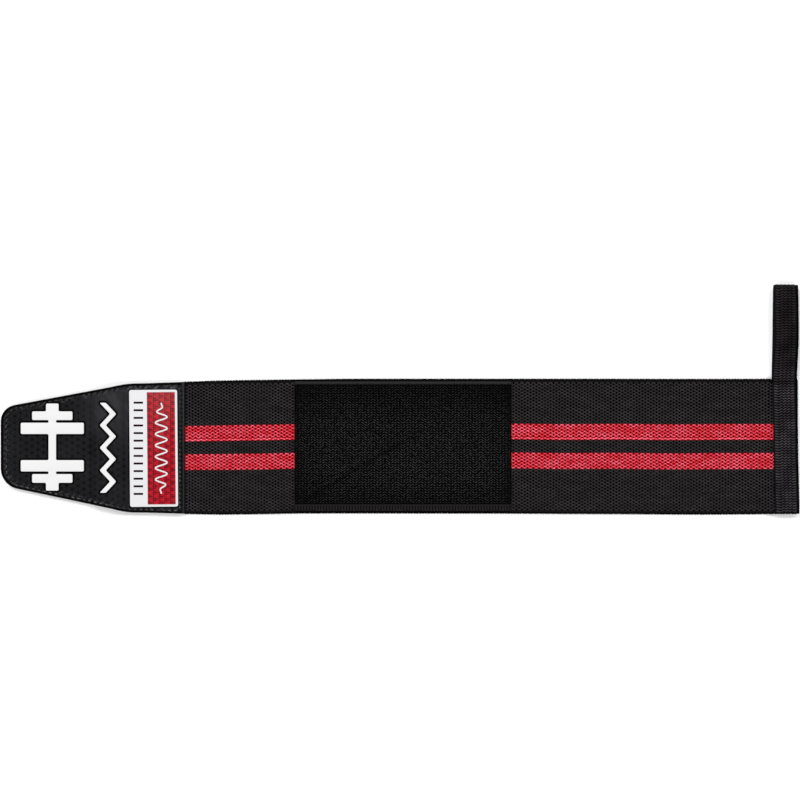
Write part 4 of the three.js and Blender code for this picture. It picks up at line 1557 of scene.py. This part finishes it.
def set_stage():
    camera = bpy.data.objects.new("camera", bpy.data.cameras.new("camera"))
    camera.data.sensor_width = SENSOR_WIDTH
    camera.data.lens = SENSOR_WIDTH * (CAMERA_HEIGHT - LOOK_HEIGHT) / PICTURE_WIDTH
    camera.data.clip_start = CLIP_NEAR
    camera.data.clip_end = CLIP_FAR
    camera.location = (*PICTURE_CENTRE, CAMERA_HEIGHT)
    bpy.context.collection.objects.link(camera)
    bpy.context.scene.camera = camera

    bpy.ops.mesh.primitive_plane_add(size=FLOOR_SIZE, location=(0, 0, 0))
    floor = added("floor")
    paint(floor, floor_finish())

    world = bpy.data.worlds.new("studio")
    world.use_nodes = True
    world.node_tree.nodes["Background"].inputs["Color"].default_value = (1, 1, 1, 1)
    world.node_tree.nodes["Background"].inputs["Strength"].default_value = WORLD_STRENGTH
    bpy.context.scene.world = world

    for row in LAMPS:
        light = bpy.data.objects.new(row["name"], bpy.data.lights.new(row["name"], "SUN"))
        light.data.energy = row["energy"]
        light.data.angle = math.radians(row["width"])
        light.rotation_euler = (0, math.radians(90 - row["rise"]), math.radians(row["turn"]))
        bpy.context.collection.objects.link(light)

    view = bpy.context.scene.view_settings
    view.view_transform = "Standard"
    view.look = "None"


# Assembly


def place_piece(obj, finish, slot, *nodes):
    paint(obj, finish)
    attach(obj, BODY)
    if nodes:
        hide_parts(*nodes)
    return obj


def build_strap():
    # Each yarn's dark colour is painted shade on its low sides and in the pits; its light colour is a
    # painted highlight at the bends
    black = yarn_finish(
        "webbing_black", linear(1, 1, 1), linear(41, 39, 40), linear(91, 85, 89), 0.5, 0.005
    )
    red = yarn_finish(
        "webbing_red", linear(124, 0, 0), linear(231, 22, 34), linear(315, 182, 218), 0.4, 0.01
    )
    core = place_piece(strap_core(), core_finish(), "webbing", "strap")
    black_rows = [row for row in range(WEBBING_ROWS) if row not in RED_ROWS]
    left = (TAB_END_X - 1.2 * MM, PATCH_LOW.x + 1.5 * MM)
    right = (PATCH_HIGH.x - 1.5 * MM, STRAP_END_X - 0.3 * MM)
    middle = (left[1], right[0])
    for name, zone, chosen, finish in (
        ("weave_black_left", left, black_rows, black),
        ("weave_black_right", right, black_rows, black),
        ("weave_black_margin", middle, MARGIN_ROWS, black),
        ("weave_red_left", left, RED_ROWS, red),
        ("weave_red_right", right, RED_ROWS, red),
    ):
        place_piece(weave(name, *zone, list(chosen)), finish, "webbing")


def build_tab():
    leather = place_piece(tab_leather(), leather_finish(), "embossed_leather", "tab_facing")
    thread = thread_finish("tab_thread", linear(16, 16, 17), linear(118, 116, 118))

    def on_leather(x, y):
        return along(FACING, "top", x) - SEAM_GROOVE_DEPTH + STITCH_THICKNESS * 0.22

    for name, line, pitch, make, between, lean, finish in (
        ("tab_stitches", tab_seam(), STITCH_PITCH, one_stitch, False, 0.0, thread),
        # The hole domes and gap blobs carry painted shade
        ("tab_holes", tab_seam(HOLE_INSET), STITCH_PITCH, one_hole_shade, True, 0.0, hole_shade_finish()),
        ("tab_end_stitches", end_seam(), END_STITCH_PITCH, one_stitch, False, END_STITCH_LEAN, thread),
        ("tab_end_gaps", end_seam(GAP_INSET), END_STITCH_PITCH, one_gap_shade, True, GAP_LEAN, hole_shade_finish()),
    ):
        stitches = sew(name, [line], on_leather, pitch, make, between, lean)
        place_piece(stitches, finish, "embossed_leather")
    flat, area = flat_size(FACING)
    tape = place_piece(hook_tape(), hook_finish(), "hook_tape", "hook_panel")
    hooks = place_piece(hook_field(), hook_finish(), "hook_tape")
    flat, area = flat_size(HOOKS)


def build_label():
    white = rubber_finish("white_rubber", linear(240, 240, 242), linear(234, 234, 236), 0.45)
    print_white = rubber_finish("white_print", linear(247, 247, 247), linear(243, 243, 243), 0.45)
    body = softened("label_body", "label_plate", LABEL_EDGE)
    field = softened("label_red", "label_field", FIELD_EDGE, 2)
    ticks, wave = label_ticks(), label_wave()
    for piece in (body, field, ticks, wave):
        mould(piece, lambda co: co + (*LABEL_SHIFT, 0))
    place_piece(body, white, "white_rubber", "label_plate")
    place_piece(field, red_field_finish(), "red_rubber", "label_field")
    ink = rubber_finish("dark_ink", linear(38, 6, 24), linear(28, 4, 18), 0.4, 0.03)
    place_piece(ticks, ink, "white_rubber")
    place_piece(wave, white, "white_rubber")
    for name, node in (("barbell_print", "emblem"), ("zigzag_print", "emblem_zigzag")):
        place_piece(softened(name, node, PRINT_EDGE), print_white, "white_print", node)


def build_patch():
    ground = pile_finish("pile_ground", linear(3, 3, 3), linear(14, 14, 14))
    loops = pile_finish("pile_loops", linear(4, 4, 4), linear(105, 103, 105))
    mat = place_piece(patch_mat(), ground, "loop_pile", "loop_patch")
    pile = place_piece(patch_pile(), loops, "loop_pile")
    edge_y = PATCH_LOW.y + PATCH_STITCH_INSET
    edge = [np.array([[PATCH_LOW.x, edge_y], [PATCH_HIGH.x, edge_y]])]
    height = PATCH_LOW.z + PATCH_STITCH_HEIGHT
    lap = sew("patch_stitches", edge, lambda x, y: np.full(len(x), height), PATCH_STITCH_PITCH, one_overcast)
    thread = thread_finish("patch_thread", linear(30, 29, 30), linear(92, 88, 92))
    place_piece(lap, thread, "loop_pile")


def build_loop():
    core = tape_finish("tape_black", linear(1, 1, 1), linear(14, 13, 14))
    tape = place_piece(loop_tape(), core, "elastic_tape", "thumb_loop")
    ribs = tape_finish("rib_black", linear(4, 4, 4), linear(85, 80, 84))
    outer = place_piece(loop_ribs("loop_ribs_outer", 1), ribs, "elastic_tape")
    inner = place_piece(loop_ribs("loop_ribs_inner", -1), ribs, "elastic_tape")
    height = float(TAPE["z"][0]) + TAPE_CORE / 2 + TAPE_STITCH_HEIGHT
    seams = sew("loop_stitches", tape_seams(), lambda x, y: np.full(len(x), height), TAPE_STITCH_PITCH)
    place_piece(seams, thread_finish("tape_thread", linear(2, 2, 2), linear(26, 25, 26)), "elastic_tape")


set_stage()
build_strap()
build_tab()
build_label()
build_patch()
build_loop()
